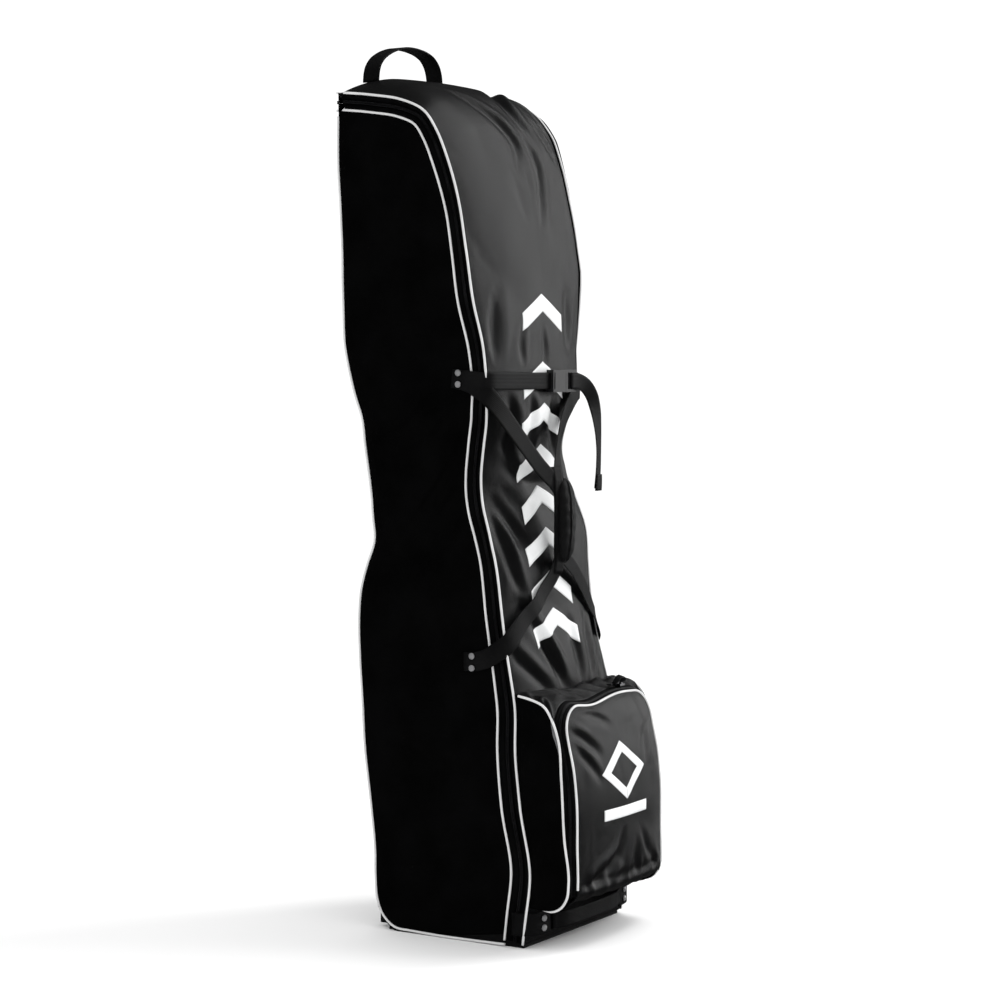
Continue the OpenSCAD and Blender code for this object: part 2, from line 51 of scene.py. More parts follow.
# ---------------- driving shapes
FOLD_Z = .865
STRAP_Z = .813
ANCHOR_Z = .408
PIPE_R = .0018
STRAP_W = .025
CARRY_W = .028
WEBBING_T = .0016
PANEL_T = .004
POCKET_T = .002
CROWN_Z = 1.226        # above this, heights on the cover are measured along the crown
POCKET_TOP_Z = .3635
HANDLE_Z = .036       # bottom handle
HANDLE_Y = .163       # top handle
GRIP_X = .002

# Half of the case's width along the front edges, against height
HALF_WIDTH = [(0.0, .143), (.1, .1455), (.2, .144), (.3, .139), (.385, .1328), (.446, .129),
              (.539, .13), (.592, .136), (.635, .131), (.678, .118), (.715, .11), (.756, .1145),
              (.78, .122), (.813, .127), (.86, .131), (.93, .1435), (1.0, .1462), (1.08, .147),
              (1.15, .146), (1.24, .143)]
# The same along the rear edges, where a board keeps the lower half straight
REAR_HALF_WIDTH = [(0.0, .143), (.1, .145), (.45, .1445), (.55, .139), (.62, .135), (.7, .133),
                   (.8, .134), (.88, .141), (.95, .1455), (1.08, .147), (1.24, .143)]
# The cover's edge and middle, from the base to the rear lip: (edge y, edge z, middle y, middle z)
COVER = [(-.1385, .006, -.1425, .006), (-.143, .04, -.148, .04), (-.1513, .108, -.1575, .108),
         (-.1334, .209, -.1445, .21), (-.1246, .277, -.139, .278), (-.1205, .346, -.138, .347),
         (-.1125, .385, -.132, .387), (-.1, .439, -.117, .441), (-.0925, .48, -.107, .482),
         (-.0862, .539, -.101, .54), (-.0831, .565, -.097, .565), (-.0778, .592, -.091, .592),
         (-.0633, .635, -.083, .635), (-.0517, .678, -.079, .678), (-.0503, .715, -.078, .715),
         (-.0592, .756, -.08, .756), (-.0653, .783, -.0815, .783), (-.0675, .813, -.081, .813),
         (-.0646, .86, -.077, .861), (-.054, .929, -.071, .931), (-.0456, .9975, -.064, 1.001),
         (-.0342, 1.066, -.054, 1.072), (-.0117, 1.136, -.032, 1.146), (.006, 1.174, -.011, 1.19),
         (.029, 1.204, .024, 1.226), (.071, 1.222, .07, 1.251), (.115, 1.23, .113, 1.262),
         (.152, 1.235, .15, 1.266), (.176, 1.237, .174, 1.259), (.1815, 1.2345, .1835, 1.237)]
# The side's rear edge: (y, z)
REAR = [(.052, .004), (.086, .007), (.106, .024), (.1141, .043), (.117, .079), (.117, .115), (.124, .186),
        (.132, .256), (.1372, .327), (.1427, .398), (.146, .469), (.1437, .505), (.1345, .541), (.122, .578),
        (.1262, .613), (.1305, .649), (.136, .684), (.142, .72), (.147, .755), (.159, .791), (.168, .829),
        (.1733, .862), (.1722, .932), (.1727, 1.003), (.1757, 1.074), (.1805, 1.145), (.181, 1.213)]


def along(points):
    """Distance of each point from the first one, along the line."""
    return np.concatenate([[0], np.cumsum(np.linalg.norm(np.diff(points, axis=0), axis=1))])


def ramp(x, start, run):
    """0 up to start and 1 from start + run on. A negative run goes the other way."""
    return np.clip((x - start) / run, 0, 1)


def bell(x, middle, width):
    return np.exp(-((x - middle) / width) ** 2)


def curve(keys, n, dimensions=None):
    """Smooth curve through key points, n samples evenly spaced along their first dimensions."""
    k = np.array(keys, float)
    t = along(k[:, :dimensions])
    m = np.gradient(k, t, axis=0)
    s = np.linspace(0, t[-1], n)
    i = np.clip(np.searchsorted(t, s, side="right") - 1, 0, len(t) - 2)
    h = (t[i + 1] - t[i])[:, None]
    q = ((s - t[i]) / (t[i + 1] - t[i]))[:, None]
    return ((2 * q**3 - 3 * q**2 + 1) * k[i] + (q**3 - 2 * q**2 + q) * h * m[i]
            + (-2 * q**3 + 3 * q**2) * k[i + 1] + (q**3 - q**2) * h * m[i + 1])


def half_width(z, keys=HALF_WIDTH):
    table = curve(keys, 200)
    return np.interp(z, table[:, 0], table[:, 1])


def unit(v):
    v = np.asarray(v, float)
    return v / np.maximum(np.linalg.norm(v, axis=-1, keepdims=True), 1e-12)


def inset(path, share):
    """Moves a (y, z) path into the case by a share of the zip band, which is wider low down."""
    t = unit(np.gradient(path, axis=0))
    band = np.interp(path[:, 1], [.3, .5], [.031, .0255])
    return path + (share * band)[:, None] * np.stack([t[:, 1], -t[:, 0]], 1)


def slump(p):
    """The hood leans over so that its far top corner is fuller than the near one."""
    near = np.exp(-((p[..., 1] - .015) / .08) ** 2 - ((p[..., 2] - 1.19) / .085) ** 2)
    across = ramp(p[..., 0], -.06, .18)
    top = near * across * across * (3 - 2 * across)
    front = ramp(p[..., 2], .86, .12) * ramp(p[..., 2], 1.24, -.08)
    front = front * ramp(p[..., 1], .07, -.09) * ramp(p[..., 0], .02, .11)
    return p + top[..., None] * np.array([0, -.013, .022]) + front[..., None] * np.array([.001, -.0165, 0])


COVER_ROWS = curve(COVER, 250)
EDGE = COVER_ROWS[:, :2]
MIDDLE = COVER_ROWS[:, 2:]
REAR_PATH = curve(REAR, 130)


def edge_y(z):
    rows = EDGE[:205]       # the part below the hood's turn, where height still rises
    return float(np.interp(z, rows[:, 1], rows[:, 0]))


def rear_y(z):
    return float(np.interp(z, REAR_PATH[:, 1], REAR_PATH[:, 0]))


# ---------------- materials
def node(tree, kind, **inputs):
    made = tree.nodes.new("ShaderNode" + kind)
    for key, value in inputs.items():
        key = key.replace("_", " ")
        if hasattr(value, "is_output"):
            tree.links.new(value, made.inputs[key])
        else:
            made.inputs[key].default_value = value
    return made


def mix_colours(tree, factor, a, b):
    made = tree.nodes.new("ShaderNodeValToRGB")
    for stop, colour, position in zip(made.color_ramp.elements, (a, b), (.35, .65)):
        stop.color = (*colour, 1)
        stop.position = position
    tree.links.new(factor, made.inputs["Fac"])
    return made.outputs["Color"]


def base_material(name, dark, light, rough, shine, metal=0.0, patch=14.0):
    """Material whose colour and roughness drift softly between two tones. shine is the specular level."""
    mat = bpy.data.materials.new(name)
    mat.use_nodes = True
    tree = mat.node_tree
    shader = tree.nodes["Principled BSDF"]
    where = tree.nodes.new("ShaderNodeTexCoord").outputs["Object"]
    drift = node(tree, "TexNoise", Vector=where, Scale=patch, Detail=6.0, Roughness=.6).outputs["Fac"]
    tree.links.new(mix_colours(tree, drift, dark, light), shader.inputs["Base Color"])
    spread = node(tree, "MapRange", Value=drift)
    spread.inputs["To Min"].default_value = rough - .06
    spread.inputs["To Max"].default_value = rough + .08
    tree.links.new(spread.outputs["Result"], shader.inputs["Roughness"])
    shader.inputs["Specular IOR Level"].default_value = shine
    shader.inputs["Metallic"].default_value = metal
    return mat, tree, shader, where


def wave(tree, where, direction, wavelength):
    made = node(tree, "TexWave", Vector=where, Scale=2 * math.pi / (20 * wavelength))
    made.wave_type = "BANDS"
    made.bands_direction = direction
    made.wave_profile = "SIN"
    return made.outputs["Fac"]


def bump(tree, shader, height, distance, strength=1.0, under=None):
    made = node(tree, "Bump", Height=height, Distance=distance, Strength=strength)
    if under:
        tree.links.new(under, made.inputs["Normal"])
    tree.links.new(made.outputs["Normal"], shader.inputs["Normal"])
    return made.outputs["Normal"]


def maths(tree, operation, a, b):
    made = tree.nodes.new("ShaderNodeMath")
    made.operation = operation
    for i, value in enumerate((a, b)):
        if hasattr(value, "is_output"):
            tree.links.new(value, made.inputs[i])
        else:
            made.inputs[i].default_value = value
    return made.outputs["Value"]


def woven(name, dark, light, rough, thread, depth, shine):
    """Plain weave laid out on the UV map, whose unit is a metre, with slubs and soft puckers."""
    mat, tree, shader, where = base_material(name, dark, light, rough, shine)
    uv = tree.nodes.new("ShaderNodeUVMap").outputs["UV"]
    warp = wave(tree, uv, "X", thread)
    weft = wave(tree, uv, "Y", thread)
    cloth = maths(tree, "MAXIMUM", maths(tree, "MULTIPLY", warp, weft), maths(
        tree, "MULTIPLY", maths(tree, "SUBTRACT", 1.0, warp), maths(tree, "SUBTRACT", 1.0, weft)))
    slub = node(tree, "TexNoise", Vector=where, Scale=900.0, Detail=2.0).outputs["Fac"]
    fine = bump(tree, shader, maths(tree, "ADD", cloth, maths(tree, "MULTIPLY", slub, .6)), depth)
    soft = node(tree, "TexNoise", Vector=where, Scale=55.0, Detail=5.0, Roughness=.55).outputs["Fac"]
    bump(tree, shader, soft, depth * 6, .5, fine)
    return mat


def ribbed(name, dark, light, rough, rib, depth, shine):
    """Webbing or zip tape: ribs along the length, crossed by a finer weft."""
    mat, tree, shader, _ = base_material(name, dark, light, rough, shine)
    uv = tree.nodes.new("ShaderNodeUVMap").outputs["UV"]
    ribs = wave(tree, uv, "X", rib)
    weft = wave(tree, uv, "Y", rib * .6)
    cloth = maths(tree, "ADD", ribs, maths(tree, "MULTIPLY", weft, .5))
    bump(tree, shader, cloth, depth)
    return mat


def moulded(name, dark, light, rough, grain, depth, shine=.5, metal=0.0):
    """Moulded plastic, rubber or metal with a fine grain and faint scuffs."""
    mat, tree, shader, where = base_material(name, dark, light, rough, shine, metal, patch=30.0)
    speck = node(tree, "TexNoise", Vector=where, Scale=grain, Detail=3.0).outputs["Fac"]
    scuff = node(tree, "TexNoise", Vector=where, Scale=grain * .08, Detail=8.0, Roughness=.75)
    fine = bump(tree, shader, speck, depth)
    bump(tree, shader, scuff.outputs["Fac"], depth * 1.5, .4, fine)
    return mat


def tone(grey, blue):
    """Neutral grey with a blue channel of its own."""
    return grey, grey, blue


# Black side fabric. Its colour is kept darker than the cover fabric's as painted shade for the near side
# panel, which faces away from the key light; the back, the far side and the pocket walls share it.
SIDE_WITH_PAINTED_SHADE = woven("side_fabric", tone(.001, .001), tone(.0018, .0019), .8, 1.1 * MM, .1 * MM, .02)
FRONT = woven("cover_fabric", tone(.003, .0033), tone(.0048, .0052), .37, 1.0 * MM, .1 * MM, .34)
LINING = woven("lining_fabric", tone(.1, .105), tone(.14, .145), .7, .8 * MM, .08 * MM, .3)
TAPE = ribbed("zip_tape", tone(.0012, .0015), tone(.0025, .003), .6, 1.2 * MM, .12 * MM, .1)
WEBBING = ribbed("webbing", tone(.003, .0034), tone(.006, .0064), .5, 2.0 * MM, .22 * MM, .2)
BINDING = ribbed("binding", tone(.005, .0055), tone(.01, .011), .5, 1.0 * MM, .12 * MM, .25)
GRIP = woven("grip_fabric", tone(.0045, .005), tone(.008, .0085), .5, 1.4 * MM, .15 * MM, .25)
WHITE = moulded("piping_white", tone(.6, .6), tone(.7, .7), .5, 500.0, .03 * MM)
PRINT = moulded("print_white", (.7, .71, .71), (.78, .79, .79), .48, 700.0, .04 * MM)
COIL = moulded("zip_coil", tone(.003, .0035), tone(.007, .008), .36, 900.0, .02 * MM, .25)
PLASTIC = moulded("buckle_plastic", tone(.007, .008), tone(.013, .014), .36, 1400.0, .03 * MM, .35)
TRAY = moulded("tray_plastic", tone(.003, .0034), tone(.006, .0066), .5, 900.0, .08 * MM, .3)
RUBBER = moulded("wheel_rubber", tone(.018, .019), tone(.034, .035), .72, 700.0, .06 * MM)
HUB = moulded("wheel_hub", (.16, .165, .17), (.24, .245, .25), .4, 1000.0, .03 * MM)
STEEL = moulded("plated_steel", tone(.34, .35), tone(.5, .51), .3, 1600.0, .01 * MM, metal=.55)
GUNMETAL = moulded("gunmetal", tone(.1, .105), tone(.17, .175), .3, 1600.0, .01 * MM, metal=1.0)


# ---------------- mesh helpers
def mesh_object(name, verts, faces, mat, uvs=None):
    data = bpy.data.meshes.new(name)
    data.from_pydata([tuple(map(float, v)) for v in verts], [], [tuple(map(int, f)) for f in faces])
    if uvs is not None:
        layer = data.uv_layers.new(name="UVMap")
        flat = np.array([uvs[v] for f in faces for v in f], np.float32)
        layer.data.foreach_set("uv", flat.ravel())
    data.materials.append(mat)
    data.polygons.foreach_set("use_smooth", [True] * len(data.polygons))
    obj = bpy.data.objects.new(name, data)
    bpy.context.scene.collection.objects.link(obj)
    return obj


def grid_faces(rows, cols, closed=False):
    i, j = np.meshgrid(np.arange(rows - 1), np.arange(cols if closed else cols - 1), indexing="ij")
    k = (j + 1) % cols
    quads = np.stack([i * cols + j, i * cols + k, (i + 1) * cols + k, (i + 1) * cols + j], -1)
    return quads.reshape(-1, 4)


def arc_lengths(points, axis):
    steps = np.linalg.norm(np.diff(points, axis=axis), axis=-1)
    pad = [(0, 0), (0, 0)]
    pad[axis] = (1, 0)
    return np.cumsum(np.pad(steps, pad), axis=axis)


def normals_of(points):
    du = np.gradient(points, axis=1)
    dv = np.gradient(points, axis=0)
    return unit(np.cross(du, dv))


def looks_out(points):
    """Whether a grid's own normals point away from the middle of the case."""
    zero = 0 * points[..., 0]
    heart = np.stack([zero, zero + .03, np.minimum(points[..., 2], 1.1) - .05], -1)
    return (normals_of(points) * unit(points - heart)).sum() > 0


def sheet(name, points, mat):
    """Surface from a grid of points, facing outwards, with a UV map in metres."""
    rows, cols = points.shape[:2]
    uv = np.stack([arc_lengths(points, 1), arc_lengths(points, 0)], -1).reshape(-1, 2)
    faces = grid_faces(rows, cols)
    if not looks_out(points):
        faces = faces[:, ::-1]
    return mesh_object(name, points.reshape(-1, 3), faces, mat, uv)


def apply_modifiers(obj):
    graph = bpy.context.evaluated_depsgraph_get()
    data = bpy.data.meshes.new_from_object(obj.evaluated_get(graph), depsgraph=graph)
    obj.modifiers.clear()
    obj.data = data
    return obj


def finish_sheet(obj, thickness, levels=1, lining=None):
    """Smooths a sheet and gives it thickness on its inner side, with a lining there if one is given."""
    if levels:
        sub = obj.modifiers.new("sub", "SUBSURF")
        sub.levels = sub.render_levels = levels
    if lining:
        obj.data.materials.append(lining)
    solid = obj.modifiers.new("solid", "SOLIDIFY")
    solid.thickness = thickness
    solid.offset = -1
    solid.material_offset = 1 if lining else 0
    return apply_modifiers(obj)


def frames_along(points, up=None):
    """Side and normal at each point. up fixes the normal's direction where it's given."""
    t = unit(np.gradient(points, axis=0))
    if up is not None:
        n = unit(up - (up * t).sum(1, keepdims=True) * t)
        return np.cross(t, n), n
    n = np.zeros_like(points)
    start = np.array([0, 0, 1.0]) if abs(t[0][2]) < .8 else np.array([1.0, 0, 0])
    n[0] = unit(start - start @ t[0] * t[0])
    for i in range(1, len(points)):
        n[i] = unit(n[i - 1] - n[i - 1] @ t[i] * t[i])
    return np.cross(t, n), n


def end_caps(rows, sides):
    """Faces that close both ends of a tube of rings."""
    return [tuple(range(sides - 1, -1, -1)), tuple(range((rows - 1) * sides, rows * sides))]


def swept(name, points, section, mat, up=None, scale=None):
    """Sweeps a closed section of (side, normal) offsets along points."""
    section = np.asarray(section, float)
    side, n = frames_along(points, up)
    scale = np.ones((len(points), 1)) if scale is None else np.asarray(scale, float).reshape(len(points), -1)
    a = section[None, :, 0] * scale[:, :1]
    b = section[None, :, 1] * scale[:, -1:]
    grid = points[:, None] + a[..., None] * side[:, None] + b[..., None] * n[:, None]
    rows, cols = grid.shape[:2]
    around = along(section)
    length = along(points)
    uv = np.stack(np.broadcast_arrays(around[None, :], length[:, None]), -1).reshape(-1, 2)
    faces = list(grid_faces(rows, cols, closed=True)) + end_caps(rows, cols)
    return mesh_object(name, grid.reshape(-1, 3), faces, mat, uv)


def ring_section(r, sides):
    a = np.linspace(0, 2 * math.pi, sides, endpoint=False)
    return np.stack([r * np.cos(a), r * np.sin(a)], 1)


def strap_section(width, thickness):
    """Flat webbing section with rounded edges."""
    w, t = width / 2, thickness / 2
    top = [(x, t) for x in np.linspace(w - t, -(w - t), 9)]
    low = [(x, -t) for x in np.linspace(-(w - t), w - t, 9)]
    return np.array(top + [(-w, 0)] + low + [(w, 0)])


def resampled(points, step):
    return curve(points, max(4, int(along(points)[-1] / step)))


def piping(name, points):
    return swept(name, points, ring_section(PIPE_R, 10), WHITE)


def strap(name, keys, normals, width, mat=WEBBING, step=.006, thickness=WEBBING_T, widths=None):
    """Webbing through key points. normals say which way its face looks at each key, widths its share."""
    widths = [1.0] * len(keys) if widths is None else widths
    both = np.column_stack([keys, normals, widths])
    path = curve(both, max(8, int(along(both[:, :3])[-1] / step)), dimensions=3)
    scale = np.stack([path[:, 6], np.ones(len(path))], 1)
    section = strap_section(width, thickness)
    return swept(name, path[:, :3], section, mat, up=unit(path[:, 3:6]), scale=scale)


def joined(name, parts):
    """Merges several meshes into the first one."""
    bpy.ops.object.select_all(action="DESELECT")
    for part in parts:
        part.select_set(True)
    bpy.context.view_layer.objects.active = parts[0]
    bpy.ops.object.join()
    parts[0].name = name
    parts[0].data.name = name
    return parts[0]


def lathe(name, profile, origin, axis, mat):
    """Turned piece: profile of (radius, height) about axis, starting at origin."""
    sides = 24
    axis = unit(axis)
    side = unit(np.cross(axis, [.3, .2, .9]))
    other = np.cross(axis, side)
    a = np.linspace(0, 2 * math.pi, sides, endpoint=False)
    around = np.cos(a)[:, None] * side + np.sin(a)[:, None] * other
    rows = [np.asarray(origin) + axis * h + around * r for r, h in profile]
    faces = list(grid_faces(len(rows), sides, closed=True)) + end_caps(len(rows), sides)
    verts = np.concatenate(rows)
    return mesh_object(name, verts, faces, mat, verts[:, [0, 2]])


def place(obj, body, slot, *nodes):
    """Lets a piece ride on a body in place of the CAD nodes named."""
    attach(obj, body)
    if nodes:
        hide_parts(*nodes)
    return obj


def place_between(obj, bodies, ends, slot, *nodes):
    """Bakes a piece's placement into its mesh and hides the CAD nodes named in its place. bodies and ends are
    not used.
    """
    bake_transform(obj)
    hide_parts(*nodes)
    return obj


def place_fold(obj, slot, *nodes):
    """Fabric that crosses the fold line between the case and the hood."""
    fold = (0, 0, FOLD_Z - .012), (0, 0, FOLD_Z + .012)
    return place_between(obj, ("case", "hood"), fold, slot, *nodes)


# ---------------- cloth
CLOTH_FRAMES = 18
CLOTH_STIFFNESS = 8.0


def set_cloth(c, pressure):
    """Thin, fairly stiff cloth whose slack group grows by up to 12%."""
    c.vertex_group_mass = "pins"
    c.vertex_group_shrink = "slack"
    c.shrink_min = 0.0
    c.shrink_max = -.12
    c.use_pressure = True
    c.uniform_pressure_force = pressure
    c.quality = 6
    c.mass = .3
    c.tension_stiffness = c.compression_stiffness = CLOTH_STIFFNESS
    c.shear_stiffness = CLOTH_STIFFNESS / 2
    c.bending_stiffness = .15
    c.effector_weights.gravity = 0.0


def pucker(obj, pins, slack, pressure, cap):
    """Lets a sheet buckle as slightly oversized cloth held at its pins, and caps how far it may move."""
    scene = bpy.context.scene
    before = np.array([v.co for v in obj.data.vertices])
    held = obj.vertex_groups.new(name="pins")
    loose = obj.vertex_groups.new(name="slack")
    for group, weights in ((held, pins), (loose, slack)):
        for i, weight in enumerate(weights.ravel()):
            if weight > 0:
                group.add([i], float(weight), "REPLACE")
    cloth = obj.modifiers.new("cloth", "CLOTH")
    set_cloth(cloth.settings, pressure)
    cloth.point_cache.frame_start = 1
    cloth.point_cache.frame_end = CLOTH_FRAMES
    for f in range(1, CLOTH_FRAMES + 1):
        scene.frame_set(f)
    graph = bpy.context.evaluated_depsgraph_get()
    moved = np.array([v.co for v in obj.evaluated_get(graph).data.vertices])
    obj.modifiers.clear()
    scene.frame_set(1)
    shift = moved - before
    size = np.linalg.norm(shift, axis=1, keepdims=True)
    limit = cap * np.tanh(size / cap)
    after = before + shift / np.maximum(size, 1e-9) * limit
    obj.data.vertices.foreach_set("co", after.astype(np.float32).ravel())
    obj.data.update()


def smooth_noise(x, y, scale, seed):
    """Smooth random field made of a few sine sheets."""
    local = np.random.default_rng(seed)
    total = np.zeros_like(x)
    for _ in range(6):
        a = local.uniform(0, 2 * math.pi)
        k = local.uniform(.6, 1.6) / scale
        total += np.sin(2 * math.pi * k * (x * math.cos(a) + y * math.sin(a)) + local.uniform(0, 6.3))
    return total / 6


def crease(x, y, points, width, depth):
    """Valley with a ridge beside it along a curve in the sheet's own plane, fading at both ends."""
    p = curve(points, 40)
    d2 = (x[..., None] - p[:, 0]) ** 2 + (y[..., None] - p[:, 1]) ** 2
    near = d2.argmin(-1)
    d = np.sqrt(d2.min(-1))
    t = unit(np.gradient(p, axis=0))[near]
    across = (x - p[near, 0]) * -t[..., 1] + (y - p[near, 1]) * t[..., 0]
    fade = np.sin(math.pi * (near + 1) / 41) ** .7
    valley = -np.exp(-(d / width) ** 2)
    ridge = .55 * np.exp(-((across - 1.5 * width) / width) ** 2 - (d / (4 * width)) ** 4)
    return depth * fade * (valley + ridge)


# ---------------- cover and hood
COVER_COLS = 61
U = np.linspace(-1, 1, COVER_COLS)


def bevel(edge):
    """How far the right edge of the hood is drawn in, so that the zip beside it faces partly forward."""
    drawn = np.interp(edge[:, 1], [.86, .93, 1.03, 1.12, 1.19], [0, .005, .01, .018, .026])
    return drawn * ramp(edge[:, 0], .15, -.09)


def cover_points():
    flat = ramp(EDGE[:, 1:], .86, .08) * ramp(EDGE[:, 1:], 1.215, -.05)
    power = np.where(U > 0, 3.2 - 1.3 * flat, 3.2)
    w = 1 - np.abs(U) ** power
    edge = EDGE[:, None, :]
    mid = MIDDLE[:, None, :]
    yz = edge + (mid - edge) * w[..., None]
    x = (half_width(EDGE[:, 1])[:, None] - bevel(EDGE)[:, None] * (U > 0)) * U[None, :]
    return slump(np.concatenate([x[..., None], yz], -1))


# Creases of the cover as (x, height) curves, width and depth. Over the top, height goes on along the crown.
COVER_CREASES = [
    ([(.132, 1.345), (.09, 1.285), (.048, 1.235), (.04, 1.195), (.058, 1.165)], .009, .0085),
    ([(-.05, 1.27), (-.023, 1.215), (-.002, 1.182), (.012, 1.158), (-.006, 1.12)], .009, .0065),
    ([(.105, 1.3), (.08, 1.25), (.102, 1.212), (.102, 1.185), (.116, 1.16)], .008, .006),
    ([(.07, 1.19), (.094, 1.162), (.114, 1.138)], .007, .0045),
    ([(.034, 1.17), (.049, 1.135), (.043, 1.08), (.036, 1.04)], .009, .0045),
    ([(-.095, .965), (-.105, .925), (-.11, .88), (-.112, .84)], .016, .006),
    ([(.096, .96), (.092, .92), (.084, .86)], .012, .005),
    ([(-.04, .9), (-.05, .87), (-.046, .835)], .008, .004),
    ([(.01, .89), (.016, .86), (.01, .832)], .007, .0035),
    ([(-.132, .635), (-.112, .58), (-.096, .53), (-.08, .48)], .01, .008),
    ([(-.12, .65), (-.088, .6), (-.06, .56)], .01, .006),
    ([(-.11, .51), (-.078, .47), (-.04, .41), (-.008, .355)], .01, .006),
    ([(-.14, .44), (-.1, .4), (-.058, .36)], .01, .0065),
    ([(-.06, .455), (-.04, .405), (-.024, .358)], .009, .006),
    ([(.02, .47), (.03, .41), (.024, .36)], .01, .006),
    ([(.08, .48), (.074, .42), (.064, .365)], .01, .0065),
    ([(.124, .47), (.106, .42), (.1, .37)], .009, .0055),
    ([(-.086, .795), (-.07, .76), (-.078, .715), (-.062, .67)], .01, .007),
    ([(-.03, .797), (-.024, .75), (-.036, .7)], .009, .0055),
    ([(.04, .797), (.03, .75), (.046, .69)], .009, .006),
    ([(.098, .797), (.086, .755), (.092, .7), (.08, .655)], .009, .007),
    ([(-.09, .69), (-.05, .668), (.01, .662), (.07, .672)], .012, .006),
]


def build_cover():
    p = cover_points()
    n = normals_of(p)
    run = arc_lengths(p, 0)
    run = np.broadcast_to(run[:, COVER_COLS // 2:COVER_COLS // 2 + 1], run.shape)
    height = np.where(MIDDLE[:, 1] < CROWN_Z, MIDDLE[:, 1], 0)
    top = np.argmax(MIDDLE[:, 1] >= CROWN_Z)
    height[top:] = CROWN_Z + run[top:, 0] - run[top, 0]
    x = p[..., 0]
    hold = ramp(np.abs(U), 1, -.12)[None, :]
    shift = 0
    for line, width, depth in COVER_CREASES:
        flat_line = [(a, np.interp(b, height, run[:, 0])) for a, b in line]
        shift = shift + crease(x, run, flat_line, width, depth)
    waist = bell(p[..., 2], .68, .14) * (run < 1.1)
    shift = shift + (.0012 + .0016 * waist) * smooth_noise(x, run, .09, 3)
    strap_pinch = bell(p[..., 2], STRAP_Z, .016) * (run < 1.0)
    shift = shift * (1 - .8 * strap_pinch)
    p = p + n * (shift * hold)[..., None]
    obj = sheet("front_cover_and_hood", p, FRONT)
    low = ramp(p[..., 2], .4, .08) * (run < 1.1)
    slack = (.3 + .5 * waist + .2 * low) * ramp(np.abs(U), 1, -.2)[None, :]
    pins = np.where(np.abs(U)[None, :] > .98, 1.0, 0.0) * np.ones_like(x)
    pins[:3] = 1
    pins[-3:] = 1
    pins = np.maximum(pins, np.where(strap_pinch > .8, 1.0, 0.0))
    pucker(obj, pins, slack, pressure=.5, cap=.009)
    finish_sheet(obj, PANEL_T, lining=LINING)
    return place_fold(obj, "cover_fabric", "front_cover", "hood_cover", "hood_padding")


# ---------------- side and back panels
def side_points(mirror):
    """Grid of the side panel, from its front and top edge back to its rear edge."""
    front = inset(EDGE, 1)[2:-2]
    rear_z = np.interp(front[:, 1], [.02, 1.165, 1.2125], [.006, 1.165, 1.213])
    top = front[:, 0] > .03
    rear_z[top] = np.interp(front[top, 0], [.03, .181], [rear_z[~top].max(), 1.213])
    rear_z = np.maximum.accumulate(rear_z)
    rear = np.stack([[rear_y(z) for z in rear_z], rear_z], 1)
    s = np.linspace(0, 1, 30)[None, :, None]
    yz = front[:, None] * (1 - s) + rear[:, None] * s
    dip = .012 * np.clip(1 - yz[..., 1] / .05, 0, 1)
    yz[..., 1] -= dip * np.clip(1 - ((yz[..., 0] - .01) / .14) ** 2, 0, 1)
    t = s[..., 0]
    swell = .008 * (1 - (2 * t - 1) ** 4) * ramp(yz[..., 1], 1.21, -.08)
    swell = swell * np.clip(yz[..., 1] / .08, 0, 1)
    front_x = half_width(yz[..., 1])
    rear_x = half_width(yz[..., 1], REAR_HALF_WIDTH)
    x = front_x + (rear_x - front_x) * np.clip(1.6 * t - .2, 0, 1) + swell
    return slump(np.concatenate([(mirror * x)[..., None], yz], -1))


# Creases of the side panels as (y, z) curves, width and depth
SIDE_CREASES = [
    ([(-.03, .8), (.02, .76), (.07, .72), (.12, .7)], .012, .006),
    ([(-.02, .76), (.01, .7), (.05, .63), (.1, .58)], .012, .0065),
    ([(-.02, .71), (-.005, .66), (.03, .61)], .01, .0055),
    ([(.13, .74), (.08, .755), (.03, .8)], .012, .0045),
    ([(-.03, .64), (0, .58), (.05, .54), (.11, .56)], .012, .006),
    ([(-.05, .56), (-.01, .52), (.05, .49)], .012, .0045),
    ([(-.06, .44), (-.02, .4), (.01, .34)], .012, .004),
    ([(.13, .86), (.08, .83), (.01, .825)], .012, .004),
]


def build_side(mirror, name, cad_node):
    p = side_points(mirror)
    y, z = p[..., 1], p[..., 2]
    shift = sum(crease(y, z, *c) for c in SIDE_CREASES) + .0012 * smooth_noise(y, z, .12, 11)
    rows, cols = y.shape
    away = np.minimum(np.arange(cols), np.arange(cols)[::-1])[None, :] / 4
    ends = np.minimum(np.arange(rows), np.arange(rows)[::-1])[:, None] / 5
    p[..., 0] += mirror * shift * np.clip(away, 0, 1) * np.clip(ends, 0, 1)
    obj = sheet(name, p, SIDE_WITH_PAINTED_SHADE)
    waist = bell(z, .66, .16)
    pins = ((away == 0) | (ends == 0)) * 1.0
    slack = np.clip(away, 0, 1) * (.12 + .55 * waist)
    pucker(obj, pins, slack, pressure=.6, cap=.008)
    finish_sheet(obj, PANEL_T, lining=LINING)
    return place(obj, "case", "side_fabric", cad_node)


